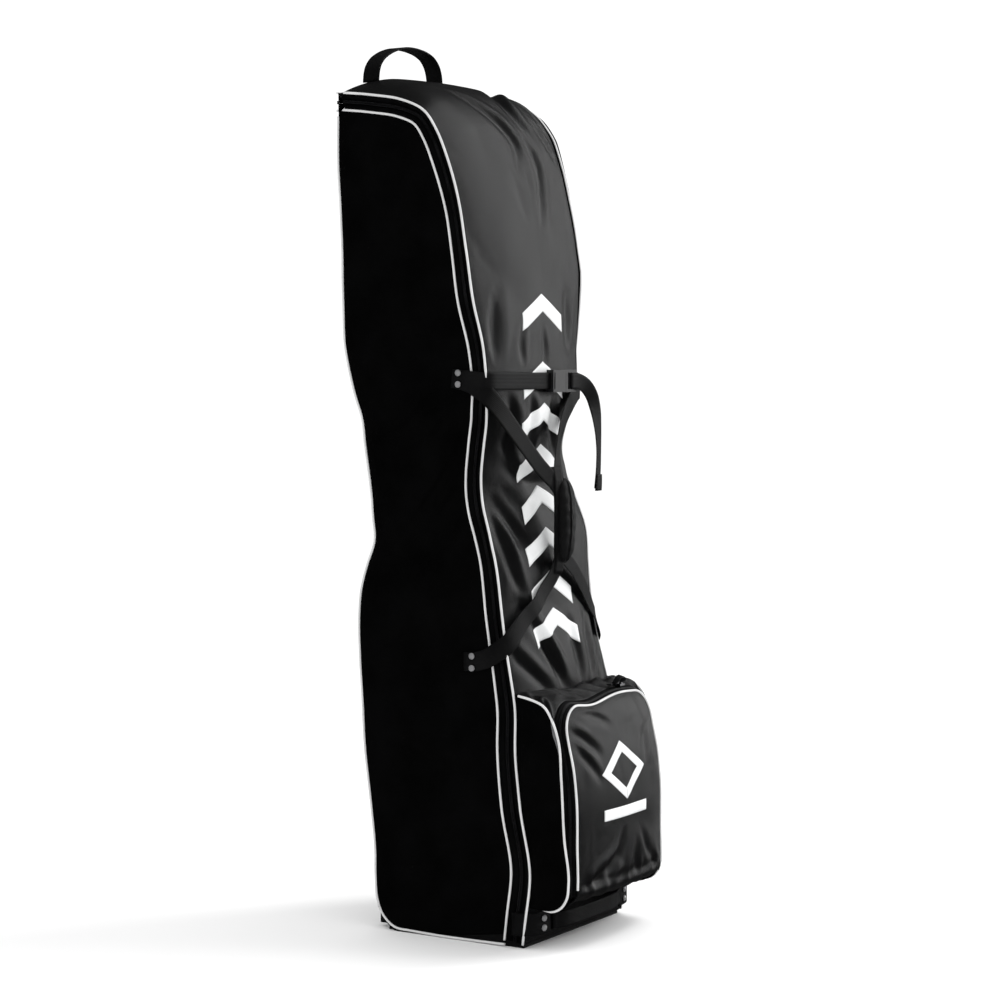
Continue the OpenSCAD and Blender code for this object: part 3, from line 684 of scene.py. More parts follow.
def build_back():
    path = curve([(y, z) for y, z in REAR if z > .09], 110)
    path = path[path[:, 1] > .102]
    u = np.linspace(-1, 1, 31)
    out = np.clip(1 - np.abs(u) ** 4, 0, 1)
    swell = .006 * ramp(path[:, 1], 1.21, -.06) * np.clip((path[:, 1] - .5) / .05, .15, 1)
    y = path[:, :1] + swell[:, None] * out[None, :] - .001
    x = (half_width(path[:, 1], REAR_HALF_WIDTH)[:, None] - .0005) * u[None, :]
    z = np.broadcast_to(path[:, 1:], y.shape)
    p = np.stack([x, y, z], -1)
    away = ramp(np.abs(u), 1, -.15)[None, :]
    p[..., 1] += .0014 * smooth_noise(x, z, .1, 5) * away * ramp(z, .55, .1)
    obj = sheet("back_panel_cover", p, SIDE_WITH_PAINTED_SHADE)
    pins = np.zeros_like(x)
    pins[:2] = pins[-2:] = 1
    pins[:, 0] = pins[:, -1] = 1
    pins[z < .5] = 1
    waist = bell(z, .66, .12)
    pucker(obj, pins, away * (.1 + .5 * waist), pressure=.5, cap=.006)
    finish_sheet(obj, PANEL_T, lining=LINING)
    return place(obj, "case", "side_fabric", "back_panel", "back_padding", "back_board", "side_paddings")


# ---------------- zip band and piping
def wobble(path, size, seed):
    """Sewn lines never run quite straight."""
    s = along(path)
    return path + size * np.stack([smooth_noise(s, s * 0 + k, .16, seed + k) for k in range(3)], 1)


def side_line(yz, mirror, out):
    x = mirror * (half_width(yz[:, 1]) + out)
    return slump(np.concatenate([x[:, None], yz], 1))


def band_line(share, mirror, out):
    """Line along the zip band, from the cover's edge (0) to the side panel (1). The far band flares out."""
    line = side_line(inset(EDGE, share), mirror, out)
    if mirror > 0:
        drawn_in = bevel(EDGE) * np.clip(1 - share / .2, 0, 1.2)
        flare = .0055 * ramp(EDGE[:, 1], .86, .1)
        line[:, 0] -= drawn_in - flare
    return line


def coil(name, points, r):
    """Zip coil: a thin tube whose radius swells once per turn."""
    pitch = .0022
    fine = curve(points, int(along(points)[-1] / pitch * 3))
    swell = np.tile([1.0, 1.0, .62], len(fine) // 3 + 1)[:len(fine)]
    return swept(name, fine, ring_section(r, 6), COIL, scale=swell)


def zip_half(name, lines, teeth, r):
    """Half a zip: tape through the lines given, and the coil along its teeth line."""
    tape = finish_sheet(sheet(f"{name}_tape", np.stack(lines, 1), TAPE), .001, levels=0)
    return joined(name, [tape, coil(f"{name}_coil", teeth, r)])


def build_side_zip(mirror, side):
    sunk = -.0035
    raised = sunk + .0012
    lines = [band_line(1.08, mirror, -.001), band_line(.86, mirror, sunk + .001),
             band_line(.53, mirror, sunk)]
    half = zip_half(f"{side}_side_zip_half", lines, band_line(.55, mirror, raised), .0014)
    place(half, "case", "zip_tape", "side_zip_tapes")
    lines = [band_line(.47, mirror, sunk), band_line(.2, mirror, sunk + .002),
             band_line(.08, mirror, sunk + .002), band_line(-.04, mirror, -.001)]
    half = zip_half(f"{side}_cover_zip_half", lines, band_line(.45, mirror, raised), .0014)
    place_fold(half, "zip_tape", "cover_zip_tapes", "hood_zip_tapes")


def build_pipings(mirror, side):
    inner = wobble(resampled(band_line(1, mirror, .0008)[:-2], .006), .0009, 20)
    outer = wobble(resampled(band_line(0, mirror, .001)[:-4], .006), .0012, 30)
    rear_yz = np.concatenate([[(-.108, .004), (-.06, .0028), (.0, .0028)], REAR_PATH[:-1]])
    rear_x = mirror * (half_width(rear_yz[:, 1], REAR_HALF_WIDTH) + .0006)
    rear = wobble(resampled(np.concatenate([rear_x[:, None], rear_yz], 1), .006), .0008, 40)
    place(piping(f"{side}_side_piping", inner), "case", "piping", "side_pipings")
    place_fold(piping(f"{side}_cover_piping", outer), "piping", "cover_pipings", "hood_pipings")
    place(piping(f"{side}_rear_piping", rear), "case", "piping", "rear_pipings")


def build_rear_zip():
    w = float(half_width(1.22))
    x = np.linspace(-w, w, 60)
    y = .1825 + .0015 * (1 - (x / w) ** 4)

    def line(z, out):
        return np.stack([x, y + out, np.full_like(x, z)], 1)

    for body, heights, teeth_z, cord_z in (("case", (1.211, 1.217, 1.2226), 1.2222, 1.2115),
                                           ("hood", (1.2242, 1.23, 1.2375), 1.2246, 1.2375)):
        lines = [line(z, -.001) for z in heights]
        half = zip_half(f"rear_{body}_zip_half", lines, line(teeth_z, .0004), .0013)
        place(half, body, "zip_tape")
        place(piping(f"rear_{body}_piping", resampled(line(cord_z, .001), .006)), body, "piping")


# ---------------- front pocket
DOOR_HALF = .124
DOOR_H = .272
DOOR_CORNER = .042
DOOR_FOOT = (-.214, .08)
DOOR_LEAN = math.radians(4.7)
POCKET_HALF = .138
# How far the door's rim stands out of its own plane, against height up the door
DOOR_RIM = [(-.03, 0), (0.0, .003), (.01, .0044), (.07, .0082), (.14, .013), (.18, .0117),
            (.221, .006), (.251, .003), (.272, .002), (.3, .002)]
# Side outline of the pocket from below the door, round the front, to the cover: (y, z)
POCKET_SIDE = [(-.147, .067), (-.168, .0605), (-.184, .0586), (-.197, .064), (-.208, .079), (-.211, .1),
               (-.204, .164), (-.199, .249), (-.194, .303), (-.184, .331), (-.17, .351), (-.15, .359),
               (-.127, POCKET_TOP_Z)]
# Creases of the door as (x, height up the door) curves, width and depth
DOOR_CREASES = [
    ([(-.128, .24), (-.09, .222), (-.053, .194)], .008, .005),
    ([(-.118, .217), (-.09, .19), (-.064, .159)], .008, .005),
    ([(-.087, .26), (-.05, .25), (-.012, .232)], .009, .004),
    ([(-.116, .006), (-.06, .03), (-.014, .05)], .008, .005),
    ([(-.079, .012), (-.03, .04), (-.004, .078)], .008, .0055),
    ([(.104, .235), (.085, .205), (.07, .17)], .009, .0035),
    ([(.1, .01), (.07, .035), (.05, .075)], .008, .004),
    ([(.04, .008), (.03, .03), (.034, .055)], .007, .0035),
]


def door_space(x, h, n):
    """Point x across, h up and n out of the pocket door's plane."""
    x, h, n = np.broadcast_arrays(x, h, n)
    y = DOOR_FOOT[0] - n * math.cos(DOOR_LEAN) + h * math.sin(DOOR_LEAN)
    z = DOOR_FOOT[1] + n * math.sin(DOOR_LEAN) + h * math.cos(DOOR_LEAN)
    return np.stack([x, y, z], -1)


def rim(h):
    table = curve(DOOR_RIM, 120)
    return np.interp(h, table[:, 0], table[:, 1])


def sagged(x, h):
    """The top of the door sags left of the middle and rises right of it."""
    near_top = ramp(h, .22, .04)
    h = h - .0065 * bell(x, -.045, .042) * near_top
    return h + .003 * bell(x, .045, .04) * near_top


def rim_line(grow, out, foot=0.0, samples=200):
    """The door's outline, grown outwards and moved out of its plane, from left foot to right foot."""
    half, top, r = DOOR_HALF + grow, DOOR_H + .55 * grow, DOOR_CORNER + .7 * grow
    a = np.linspace(0, math.pi / 2, 14)[1:-1]
    left = [(-half, h) for h in np.linspace(foot, top - r, 24)]
    corner = [(-half + r - r * math.cos(t), top - r + r * math.sin(t)) for t in a]
    middle = [(x, top) for x in np.linspace(-half + r, half - r, 24)]
    right = [(-x, h) for x, h in (left + corner)[::-1]]
    flat = np.array(left + corner + middle + right)
    t = along(flat)
    s = np.linspace(0, t[-1], samples)
    x = np.interp(s, t, flat[:, 0])
    h = sagged(x, np.interp(s, t, flat[:, 1]))
    return door_space(x, h, rim(h) + out)


def door_face(u):
    """Grid of the door's face. Its fullness, creases and the gathers above its foot die out at the rim."""
    round_part = DOOR_CORNER * np.sin(np.linspace(.04, math.pi / 2, 15))
    h = np.concatenate([np.linspace(0, .228, 44), DOOR_H - DOOR_CORNER + round_part])
    arc = np.sqrt(np.clip(DOOR_CORNER ** 2 - np.clip(h - (DOOR_H - DOOR_CORNER), 0, None) ** 2, 0, None))
    half = DOOR_HALF - DOOR_CORNER + arc
    x = half[:, None] * u[None, :]
    up = sagged(x, np.broadcast_to(h[:, None], x.shape))
    away = ramp(np.abs(x), DOOR_HALF, -.025) * ramp(up, DOOR_H, -.03)
    out = rim(up) + .011 * (1 - np.abs(u[None, :]) ** 2.4) * ramp(up, DOOR_H, -.1) ** .7
    shift = sum(crease(x, up, *c) for c in DOOR_CREASES) + .0012 * smooth_noise(x, up, .07, 61)
    gather = bell(up, .018, .016)
    out = out + (shift + gather * .0022 * np.sin(x / .0052 + 2.5 * smooth_noise(x, up, .05, 62))) * away
    out = out - .003 * bell(up, .014, .0035) * away
    return door_space(x, up, out), (.25 + .5 * gather) * away


def door_underside(u, rows):
    """Grid that turns under the pocket from the door's foot."""
    share = np.linspace(0, 1, rows + 1)[:-1, None]
    x = DOOR_HALF * u[None, :]
    y = -.158 - share * .056 - .01 * share * (1 - u ** 2)
    z = .061 + .012 * share ** 1.5 + .0012 * np.sin(x / .006 + np.arange(rows)[:, None])
    return np.stack(np.broadcast_arrays(x, y, z), -1)


def build_door():
    u = np.linspace(-1, 1, 53)
    under = door_underside(u, 8)
    face, looseness = door_face(u)
    p = np.concatenate([under, face])
    obj = sheet("pocket_door_face", p, FRONT)
    pins = np.ones(p.shape[:2])
    pins[len(under) + 2:-1, 1:-1] = 0
    slack = np.concatenate([np.zeros(under.shape[:2]), looseness])
    pucker(obj, pins, slack, pressure=.8, cap=.006)
    finish_sheet(obj, POCKET_T, lining=LINING)
    foot = (0, 0, .07), (0, 0, .092)
    return place_between(obj, ("case", "pocket_door"), foot, "cover_fabric", "pocket_door")


def outer_rim(samples=200):
    """Outer edge of the gusset's zip tape, drawn out to the side outline down both sides."""
    ring = rim_line(.014, -.0135, foot=-.006, samples=samples)
    side = ramp(np.abs(ring[:, 0]), .126, .01) * ramp(ring[:, 2], .312, -.04)
    outline = curve(POCKET_SIDE[4:10], 90)
    target = np.interp(np.clip(ring[:, 2], .08, .33), outline[:, 1], outline[:, 0])
    ring[:, 1] += (target - ring[:, 1]) * side
    return ring


def build_gusset(skin):
    """Wrinkled top and corners of the pocket, between the zip and the cover, and its two black side walls."""
    ring = outer_rim(240)
    first = int(np.argmax(ring[:, 2] > .262))
    inner = ring[first:len(ring) - first]
    side = curve(POCKET_SIDE, 200)
    start = int(np.argmin(np.abs(side[:, 1] - inner[0, 2]) + (side[:, 0] > -.17)))
    left = np.array([(-POCKET_HALF, y, z) for y, z in side[start:]])
    x = np.linspace(-POCKET_HALF, POCKET_HALF, 60)[1:-1]
    z = POCKET_TOP_Z + .003 * np.sin(x * 40)
    across = np.stack([x, np.array([skin.from_front(a, b)[0].y for a, b in zip(x, z)]) + .002, z], 1)
    right = left[::-1] * np.array([-1, 1, 1])
    end = 33
    outer = np.concatenate([curve(left, end + 1)[:-1], resampled(across, .004), curve(right, end + 1)[1:]])
    count = len(outer)
    share = np.linspace(0, 1, count)
    t = np.interp(np.arange(count), [0, end, count - 1 - end, count - 1], [0, .24, .76, 1])
    length = along(inner)
    inner = np.stack([np.interp(t * length[-1], length, inner[:, k]) for k in range(3)], 1)
    v = np.linspace(0, 1, 15)[:, None, None]
    p = inner[None] * (1 - v) + outer[None] * v
    lift = np.sin(math.pi * v[..., 0]) * np.clip(np.minimum(share, 1 - share) / .12, 0, 1)[None]
    fold = np.sin(38 * share[None] * 2 + 3 * np.sin(6 * v[..., 0] + 9 * share[None]))
    p[..., 2] += lift * (.0065 + .0035 * fold + .003 * smooth_noise(p[..., 0], p[..., 1], .05, 71))
    p[..., 1] += lift * -.002 * fold
    obj = sheet("pocket_top_fabric", p, FRONT)
    finish_sheet(obj, POCKET_T, lining=LINING)
    place(obj, "case", "cover_fabric", "pocket_gusset")
    for mirror, word in ((-1, "left"), (1, "right")):
        build_pocket_wall(mirror, word, side)


def build_pocket_wall(mirror, word, side):
    """Black side wall, the corner that closes it below, and the piping round its front edge."""
    t = np.linspace(0, 1, len(side))
    z_back = np.interp(t, [0, .16, .34, .8, 1], [.06, .0625, .085, .325, POCKET_TOP_Z])
    back_x = half_width(z_back) - .003
    back_y = np.array([edge_y(z) for z in z_back]) + .004
    v = np.linspace(0, 1, 13)[:, None]
    x = POCKET_HALF * (1 - v) + back_x[None] * v
    y = side[:, 0][None] * (1 - v) + back_y[None] * v
    z = side[:, 1][None] * (1 - v) + z_back[None] * v
    inside = np.clip(np.minimum(t, 1 - t) / .15, 0, 1)[None]
    swell = np.sin(math.pi * v) * inside
    x = x + swell * (.005 + .0022 * smooth_noise(y, z, .06, 81))
    p = np.stack([mirror * x, y, z], -1)
    obj = sheet(f"pocket_{word}_wall", p, SIDE_WITH_PAINTED_SHADE)
    finish_sheet(obj, POCKET_T, lining=LINING)
    place(obj, "case", "side_fabric")
    low = curve(POCKET_SIDE[:5], 20)
    across = mirror * np.linspace(.12, POCKET_HALF, 6)
    p = np.stack(np.broadcast_arrays(across[None], low[:, :1], low[:, 1:] + .0004), -1)
    place(finish_sheet(sheet(f"pocket_{word}_corner", p, SIDE_WITH_PAINTED_SHADE), .001), "case", "side_fabric")
    path = np.concatenate([np.full((len(side), 1), mirror * (POCKET_HALF + .0006)), side], 1)
    path = wobble(resampled(path, .006), .0006, 90)
    place(piping(f"pocket_{word}_gusset_piping", path), "case", "piping", "pocket_gusset_piping")


def build_pocket_trim():
    lines = [rim_line(.001, -.001), rim_line(.004, -.004), rim_line(.006, -.007)]
    half = zip_half("pocket_door_zip_half", lines, rim_line(.006, -.0068), .0012)
    place(half, "pocket_door", "zip_tape", "pocket_door_tape")
    lines = [rim_line(.0074, -.0088), rim_line(.01, -.01), outer_rim()]
    half = zip_half("pocket_gusset_zip_half", lines, rim_line(.0074, -.0086), .0012)
    place(half, "case", "zip_tape", "pocket_gusset_tape")
    path = wobble(resampled(rim_line(.0003, .0004, foot=.01), .006), .0007, 95)
    place(piping("pocket_door_piping_cord", path), "pocket_door", "piping", "pocket_door_piping")
    keys = [(.04, -.183, .364), (.043, -.187, .372), (.048, -.189, .377), (.056, -.189, .375),
            (.062, -.186, .367)]
    place(strap("pocket_zip_garage", keys, [(-.5, -.2, 1)] * 5, .01, BINDING), "case", "webbing")


# ---------------- webbing
class Skin:
    """Finished cloth surfaces, for laying webbing and print on."""

    def __init__(self, *objs):
        verts, faces = [], []
        for obj in objs:
            offset = len(verts)
            verts += [obj.matrix_world @ v.co for v in obj.data.vertices]
            faces += [[offset + i for i in f.vertices] for f in obj.data.polygons]
        self.tree = BVHTree.FromPolygons(verts, faces)

    def height(self, point, outward, reach=.05):
        """How far the surface stands out beyond point, or None where there's none."""
        start = Vector(point) + Vector(outward) * reach
        hit = self.tree.ray_cast(start, -Vector(outward), 2 * reach)
        return None if hit[0] is None else reach - hit[3]

    def from_front(self, x, z):
        """Point and normal met by looking along +Y at (x, z)."""
        return self.tree.ray_cast(Vector((x, -.5, z)), Vector((0, 1, 0)), 1.0)[:2]


def facing(angles):
    """Outward directions turned from the front (0) towards +X (90 degrees)."""
    a = np.radians(np.asarray(angles, float))
    return np.stack([np.sin(a), -np.cos(a), np.zeros_like(a)], -1)


def laid(keys, width, skin, clear):
    """Path through (x, y, z, angle) keys, pushed outwards until a strap of that width clears the cloth."""
    keys = np.asarray(keys, float)
    t = along(keys[:, :3])
    s = np.linspace(0, t[-1], max(10, int(t[-1] / .006)))
    path = np.stack([np.interp(s, t, keys[:, k]) for k in range(4)], 1)
    for _ in range(3):
        path[1:-1] = (path[:-2] + 2 * path[1:-1] + path[2:]) / 4
    points, out = path[:, :3].copy(), facing(path[:, 3])
    across = np.cross(unit(np.gradient(points, axis=0)), out)
    push = np.zeros(len(points))
    for i in range(len(points)):
        for share in (-.42, 0, .42):
            rise = skin.height(points[i] + across[i] * share * width, out[i], .03)
            if rise is not None:
                push[i] = max(push[i], rise + clear)
    wide = np.array([push[max(0, i - 1):i + 2].max() for i in range(len(push))])
    for _ in range(4):
        wide[1:-1] = np.maximum(wide[1:-1], (wide[:-2] + 2 * wide[1:-1] + wide[2:]) / 4)
    return points + out * wide[:, None], out


def laid_strap(name, keys, width, skin, clear, widths=(1, 1)):
    points, out = laid(keys, width, skin, clear)
    share = np.interp(np.linspace(0, 1, len(points)), np.linspace(0, 1, len(widths)), widths)
    scale = np.stack([share, np.ones(len(points))], 1)
    return swept(name, points, strap_section(width, WEBBING_T), WEBBING, up=out, scale=scale)


def mirrored(keys):
    return [(-x, y, z, -a) for x, y, z, a in keys]


# Webbing keys: x, y, z and the way its face looks, in degrees from the front towards +X
BELT_SIDE = [(-.1372, -.014, .8175, -90), (-.1372, -.03, .8165, -90), (-.1368, -.044, .815, -86),
             (-.1345, -.058, .8138, -64), (-.13, -.069, .813, -38), (-.12, -.0755, .813, -18)]
BELT_LEFT = BELT_SIDE + [(-.09, -.0805, .813, -4), (-.05, -.0845, .813, 0), (-.01, -.089, .813, 0),
                         (.0125, -.0915, .813, 0)]
BELT_RIGHT = mirrored(BELT_SIDE) + [(.105, -.078, .813, 6), (.08, -.081, .813, 0), (.054, -.0825, .813, 0)]
UPPER_SIDE = [(-.1372, -.014, .8165, -90), (-.1372, -.028, .815, -90), (-.1368, -.042, .811, -86),
              (-.1345, -.056, .804, -66)]
UPPER_LEFT = UPPER_SIDE + [
    (-.128, -.067, .793, -40), (-.115, -.076, .778, -20), (-.099, -.083, .758, -12),
    (-.08, -.091, .734, -10), (-.06, -.099, .709, -12), (-.044, -.1065, .688, -16),
    (-.03, -.114, .673, -18), (-.018, -.1185, .662, -16), (-.01, -.12, .65, -14)]
UPPER_RIGHT = mirrored(UPPER_SIDE) + [
    (.126, -.0735, .8, 30), (.108, -.08, .796, 14), (.086, -.085, .786, 6), (.054, -.0925, .765, 12),
    (.024, -.1, .74, 28), (.006, -.107, .713, 20), (-.006, -.114, .688, 0), (-.009, -.119, .662, -8)]
LOWER_SIDE = [(-.13, -.102, .433, -46), (-.137, -.091, .424, -76), (-.1395, -.076, .414, -90),
              (-.14, -.056, .408, -90), (-.14, -.038, .408, -90)]
LOWER_LEFT = [(-.008, -.12, .56, -14), (-.01, -.119, .547, -12), (-.022, -.115, .524, -6),
              (-.046, -.108, .502, -4), (-.086, -.106, .474, -8), (-.11, -.105, .455, -20),
              (-.122, -.105, .442, -32)] + LOWER_SIDE
LOWER_RIGHT = [(-.004, -.12, .562, 4), (.006, -.119, .552, 6), (.035, -.117, .536, 10),
               (.077, -.111, .503, 14), (.104, -.105, .479, 22), (.12, -.102, .457, 34)
               ] + mirrored(LOWER_SIDE)


def build_belt(skin):
    for keys, word in ((BELT_LEFT, "left"), (BELT_RIGHT, "right")):
        obj = laid_strap(f"compression_belt_{word}", keys, STRAP_W, skin, clear=.002)
        place(obj, "case", "webbing", f"compression_strap_{word}")
    tail = [(.058, -.0985, .813), (.076, -.101, .8125), (.092, -.104, .806), (.105, -.107, .792),
            (.113, -.109, .772), (.118, -.1105, .745), (.1205, -.111, .712), (.1195, -.111, .68),
            (.1175, -.11, .65)]
    turn = [0, -14, -34, -34, -20, 0, 12, 12, 8]
    obj = strap("strap_tail_webbing", tail, facing(turn), .024, widths=[1, 1, .95] + [.9] * 6)
    fold = strap("strap_tail_fold", [(.1185, -.1128, .672), (.1178, -.113, .66), (.1176, -.1122, .647)],
                 facing([12, 10, 8]), .0225, thickness=.0036)
    place(joined("strap_tail_with_fold", [obj, fold]), "buckle_male", "webbing", "strap_tail")


def build_legs(skin):
    narrowing = [1, 1, 1, 1, .96, .92, .88, .84]
    legs = (("upper_left", UPPER_LEFT, narrowing, (-.13, -.064, .797), (-.012, -.118, .664)),
            ("upper_right", UPPER_RIGHT, narrowing, (.13, -.07, .802), (-.004, -.118, .664)),
            ("lower_left", LOWER_LEFT, narrowing[::-1], (-.128, -.104, .436), (-.01, -.118, .548)),
            ("lower_right", LOWER_RIGHT, narrowing[::-1], (.122, -.102, .455), (.004, -.118, .554)))
    for word, keys, widths, start, end in legs:
        obj = laid_strap(f"carry_leg_{word}", keys, CARRY_W, skin, clear=.004, widths=widths)
        place_between(obj, ("case", "carry_grip"), (start, end), "webbing", f"carry_strap_{word}")


def build_grip():
    """Padded wrap with a bound slit down it, round a core of folded webbing."""
    z = np.linspace(.545, .67, 46)
    s = (z - z.mean()) / (z[-1] - z[0]) * 2
    size = np.clip(1 - np.abs(s) ** 5, 0, 1) ** .5 * (1 - .16 * s ** 2)
    size = np.maximum(size, .12)
    a = np.linspace(0, 2 * math.pi, 48, endpoint=False)
    c, d = np.cos(a), np.sin(a)
    half_w, half_t = .018, .0115
    r = (np.abs(c / half_w) ** 2.6 + np.abs(d / half_t) ** 2.6) ** (-1 / 2.6)
    verts, uvs = [], []
    for k, (zz, ss) in enumerate(zip(z, size)):
        bow = .003 * (1 - s[k] ** 2)
        ripple = 1 + .035 * np.sin(9 * s[k] + 3 * np.sin(a)) * np.sin(2 * a) + .02 * np.sin(23 * s[k] + 2 * a)
        reach = r * ss * ripple
        verts.append(np.stack([GRIP_X + reach * c, -.1205 - bow + reach * d, np.full_like(a, zz)], -1))
        uvs.append(np.stack([a * .016, np.full_like(a, zz)], -1))
    faces = [tuple(f[::-1]) for f in grid_faces(len(z), len(a), closed=True)]
    faces += [tuple(range(len(a))), tuple(range(len(z) * len(a) - 1, (len(z) - 1) * len(a) - 1, -1))]
    pad = mesh_object("grip_pad", np.concatenate(verts), faces, GRIP, np.concatenate(uvs))
    columns = [int(math.radians(angle) / (2 * math.pi) * len(a)) for angle in (165, 262)]
    near, far = (np.array([verts[k][col] for k in range(2, len(z) - 2)]) for col in columns)
    middle = np.stack([np.full(len(near), GRIP_X), np.full(len(near), -.122), near[:, 2]], 1)
    loop = np.concatenate([near + unit(near - middle) * .0004, (far + unit(far - middle) * .0004)[::-1]])
    path = resampled(np.concatenate([loop, loop[:1]]), .003)
    binding = swept("grip_binding", path, ring_section(.0014, 8), BINDING)
    place(joined("grip_wrap", [pad, binding]), "carry_grip", "grip_fabric", "carry_grip")
    keys = [(-.014, -.115, .688), (-.013, -.118, .668), (-.012, -.1195, .64), (-.012, -.12, .607),
            (-.012, -.1195, .575), (-.01, -.1185, .548), (-.012, -.1165, .53)]
    core = strap("grip_core_webbing", keys, facing([-12] * 7), .0215, thickness=.006)
    place(core, "carry_grip", "webbing", "grip_webbing")


def build_rivets():
    dome = [(.0001, .0026), (.0016, .0025), (.0032, .0019), (.0043, .0009), (.0048, .0002), (.0046, -.0012)]
    profile = dome[::-1]
    spots = []
    for side in (-1, 1):
        for x, y, z, apart, axis in ((.1408, -.026, STRAP_Z + .0035, .0082, (side, 0, 0)),
                                     (.145, -.052, ANCHOR_Z, .0088, (side, 0, 0)),
                                     (.118, -.159, HANDLE_Z, .007, (side * .3, -1, 0))):
            spots += [((side * x, y, z + d), axis) for d in (-apart, apart)]
    parts = [lathe(f"rivet_{k}", profile, spot, axis, STEEL) for k, (spot, axis) in enumerate(spots)]
    place(joined("rivet_heads", parts), "case", "steel", "rivets")


def build_top_handle():
    arch = [(-.086, 1.258), (-.085, 1.268), (-.081, 1.281), (-.07, 1.2935), (-.053, 1.3035),
            (-.033, 1.311), (-.014, 1.3155), (.004, 1.317), (.026, 1.3165), (.048, 1.3135),
            (.066, 1.307), (.078, 1.296), (.084, 1.282), (.0855, 1.268), (.086, 1.258)]
    keys = [(x, HANDLE_Y, z) for x, z in arch]
    slope = unit(np.gradient(np.array(arch), axis=0))
    normals = [(-b, 0, a) for a, b in slope]
    top = strap("top_handle_webbing", keys, normals, .03, step=.005, thickness=.003)
    foot = (0, HANDLE_Y, 1.2635), (0, HANDLE_Y, 1.281)
    place_between(top, ("hood", "top_handle"), foot, "webbing", "top_handle")


def build_bottom_handle(skin):
    patch = [(-.1475, -.122, -90), (-.1475, -.136, -80), (-.143, -.149, -45), (-.132, -.1555, -16),
             (-.112, -.158, -6), (-.098, -.1595, -8)]
    low = [(x, y, HANDLE_Z, angle) for x, y, angle in patch]
    for turn, word in ((lambda k: k, "left"), (mirrored, "right")):
        obj = laid_strap(f"bottom_patch_{word}", turn(low), .033, skin, clear=.0012)
        place(obj, "case", "webbing")
    half = [(-.098, -.1605, HANDLE_Z, -4), (-.088, -.163, HANDLE_Z, -20), (-.078, -.168, HANDLE_Z, -26),
            (-.06, -.1715, HANDLE_Z, -8), (-.03, -.1725, HANDLE_Z, -2), (0, -.1728, HANDLE_Z, 0)]
    keys = np.array(half + mirrored(half)[-2::-1])
    obj = strap("bottom_handle_webbing", keys[:, :3], facing(keys[:, 3]), .025, thickness=.003)
    foot = (0, -.16, HANDLE_Z), (0, -.1665, HANDLE_Z)
    place_between(obj, ("case", "bottom_handle"), foot, "webbing", "bottom_handle")


def build_tie_strap():
    z = .74
    for mirror, word, inner in ((-1, "left", -.036), (1, "right", .022)):
        w = half_width(z, REAR_HALF_WIDTH) - .008
        keys = [(mirror * w, .1, z), (mirror * w * .95, .112, z), (mirror * w * .75, .118, z),
                (inner, .119, z)]
        turn = facing([mirror * 60, mirror * 30, 0, 0])
        obj = strap(f"tie_{word}_webbing", keys, turn, .025, thickness=.0015)
        place(obj, "case", "webbing", f"tie_strap_{word}")


# ---------------- print
def printed(name, shapes, skin, body):
    """White print laid on the cloth. Each shape is the band between two lines of (x, z) points."""
    parts = []
    for number, (line_a, line_b) in enumerate(shapes):
        rows = []
        for share in np.linspace(0, 1, 7):
            row = []
            for x, z in line_a * (1 - share) + line_b * share:
                hit = skin.from_front(x, z)
                row.append(tuple(hit[0] + hit[1] * (.0007 if hit[1].y < 0 else -.0007)))
            rows.append(row)
        parts.append(finish_sheet(sheet(f"{name}_{number}", np.array(rows), PRINT), .0005, levels=0))
    return place(joined(name, parts), body, "piping")


def polyline(corners, step=.004):
    """Points along straight runs between corners, keeping every corner."""
    runs = []
    for a, b in zip(corners[:-1], corners[1:]):
        count = max(2, round(math.dist(a, b) / step))
        runs.append(np.linspace(a, b, count, endpoint=False))
    return np.concatenate(runs + [[corners[-1]]])


def diamond(x, z, half, rise):
    corners = np.array([(0, -rise), (half, 0), (0, rise), (-half, 0), (0, -rise)])
    line = polyline(corners)
    return line + (x, z), line * .62 + (x, z)


def bar(x, z, half, width):
    line = polyline([(x - half, z), (x + half, z)])
    return line, line + (0, width)


def chevron(x, z, half, rise, width):
    line = polyline([(x - half, z - rise), (x, z), (x + half, z - rise)])
    return line, line - (0, width)


# ---------------- camera, light, floor
def build_stage():
    """Pale floor, and a white surround that is dim in reflections so that dark cloth stays dark."""
    floor_mat = bpy.data.materials.new("floor")
    floor_mat.use_nodes = True
    tree = floor_mat.node_tree
    shader = tree.nodes["Principled BSDF"]
    where = tree.nodes.new("ShaderNodeTexCoord").outputs["Object"]
    drift = node(tree, "TexNoise", Vector=where, Scale=.6, Detail=2.0).outputs["Fac"]
    tree.links.new(mix_colours(tree, drift, (.96,) * 3, (.98,) * 3), shader.inputs["Base Color"])
    shader.inputs["Roughness"].default_value = .9
    shader.inputs["Specular IOR Level"].default_value = 0
    size = 60
    corners = [(-size, -size, 0), (size, -size, 0), (size, size, 0), (-size, size, 0)]
    floor = mesh_object("floor", corners, [(0, 1, 2, 3)], floor_mat)
    floor.visible_glossy = False
    world = bpy.data.worlds.new("studio")
    bpy.context.scene.world = world
    world.use_nodes = True
    sky = world.node_tree
    rays = sky.nodes.new("ShaderNodeLightPath").outputs
    dim = maths(sky, "MULTIPLY", rays["Is Glossy Ray"], -1.03)
    seen = maths(sky, "MULTIPLY", rays["Is Camera Ray"], .02)
    power = maths(sky, "ADD", maths(sky, "ADD", seen, 1.08), dim)
    background = sky.nodes["Background"]
    background.inputs["Color"].default_value = (1, 1, 1, 1)
    sky.links.new(power, background.inputs["Strength"])


def area_light(name, spot, aim, size, power):
    data = bpy.data.lights.new(name, "AREA")
    data.shape = "RECTANGLE"
    data.size, data.size_y = size
    data.energy = power
    obj = bpy.data.objects.new(name, data)
    obj.location = spot
    obj.rotation_euler = (Vector(aim) - Vector(spot)).to_track_quat("-Z", "Y").to_euler()
    bpy.context.scene.collection.objects.link(obj)


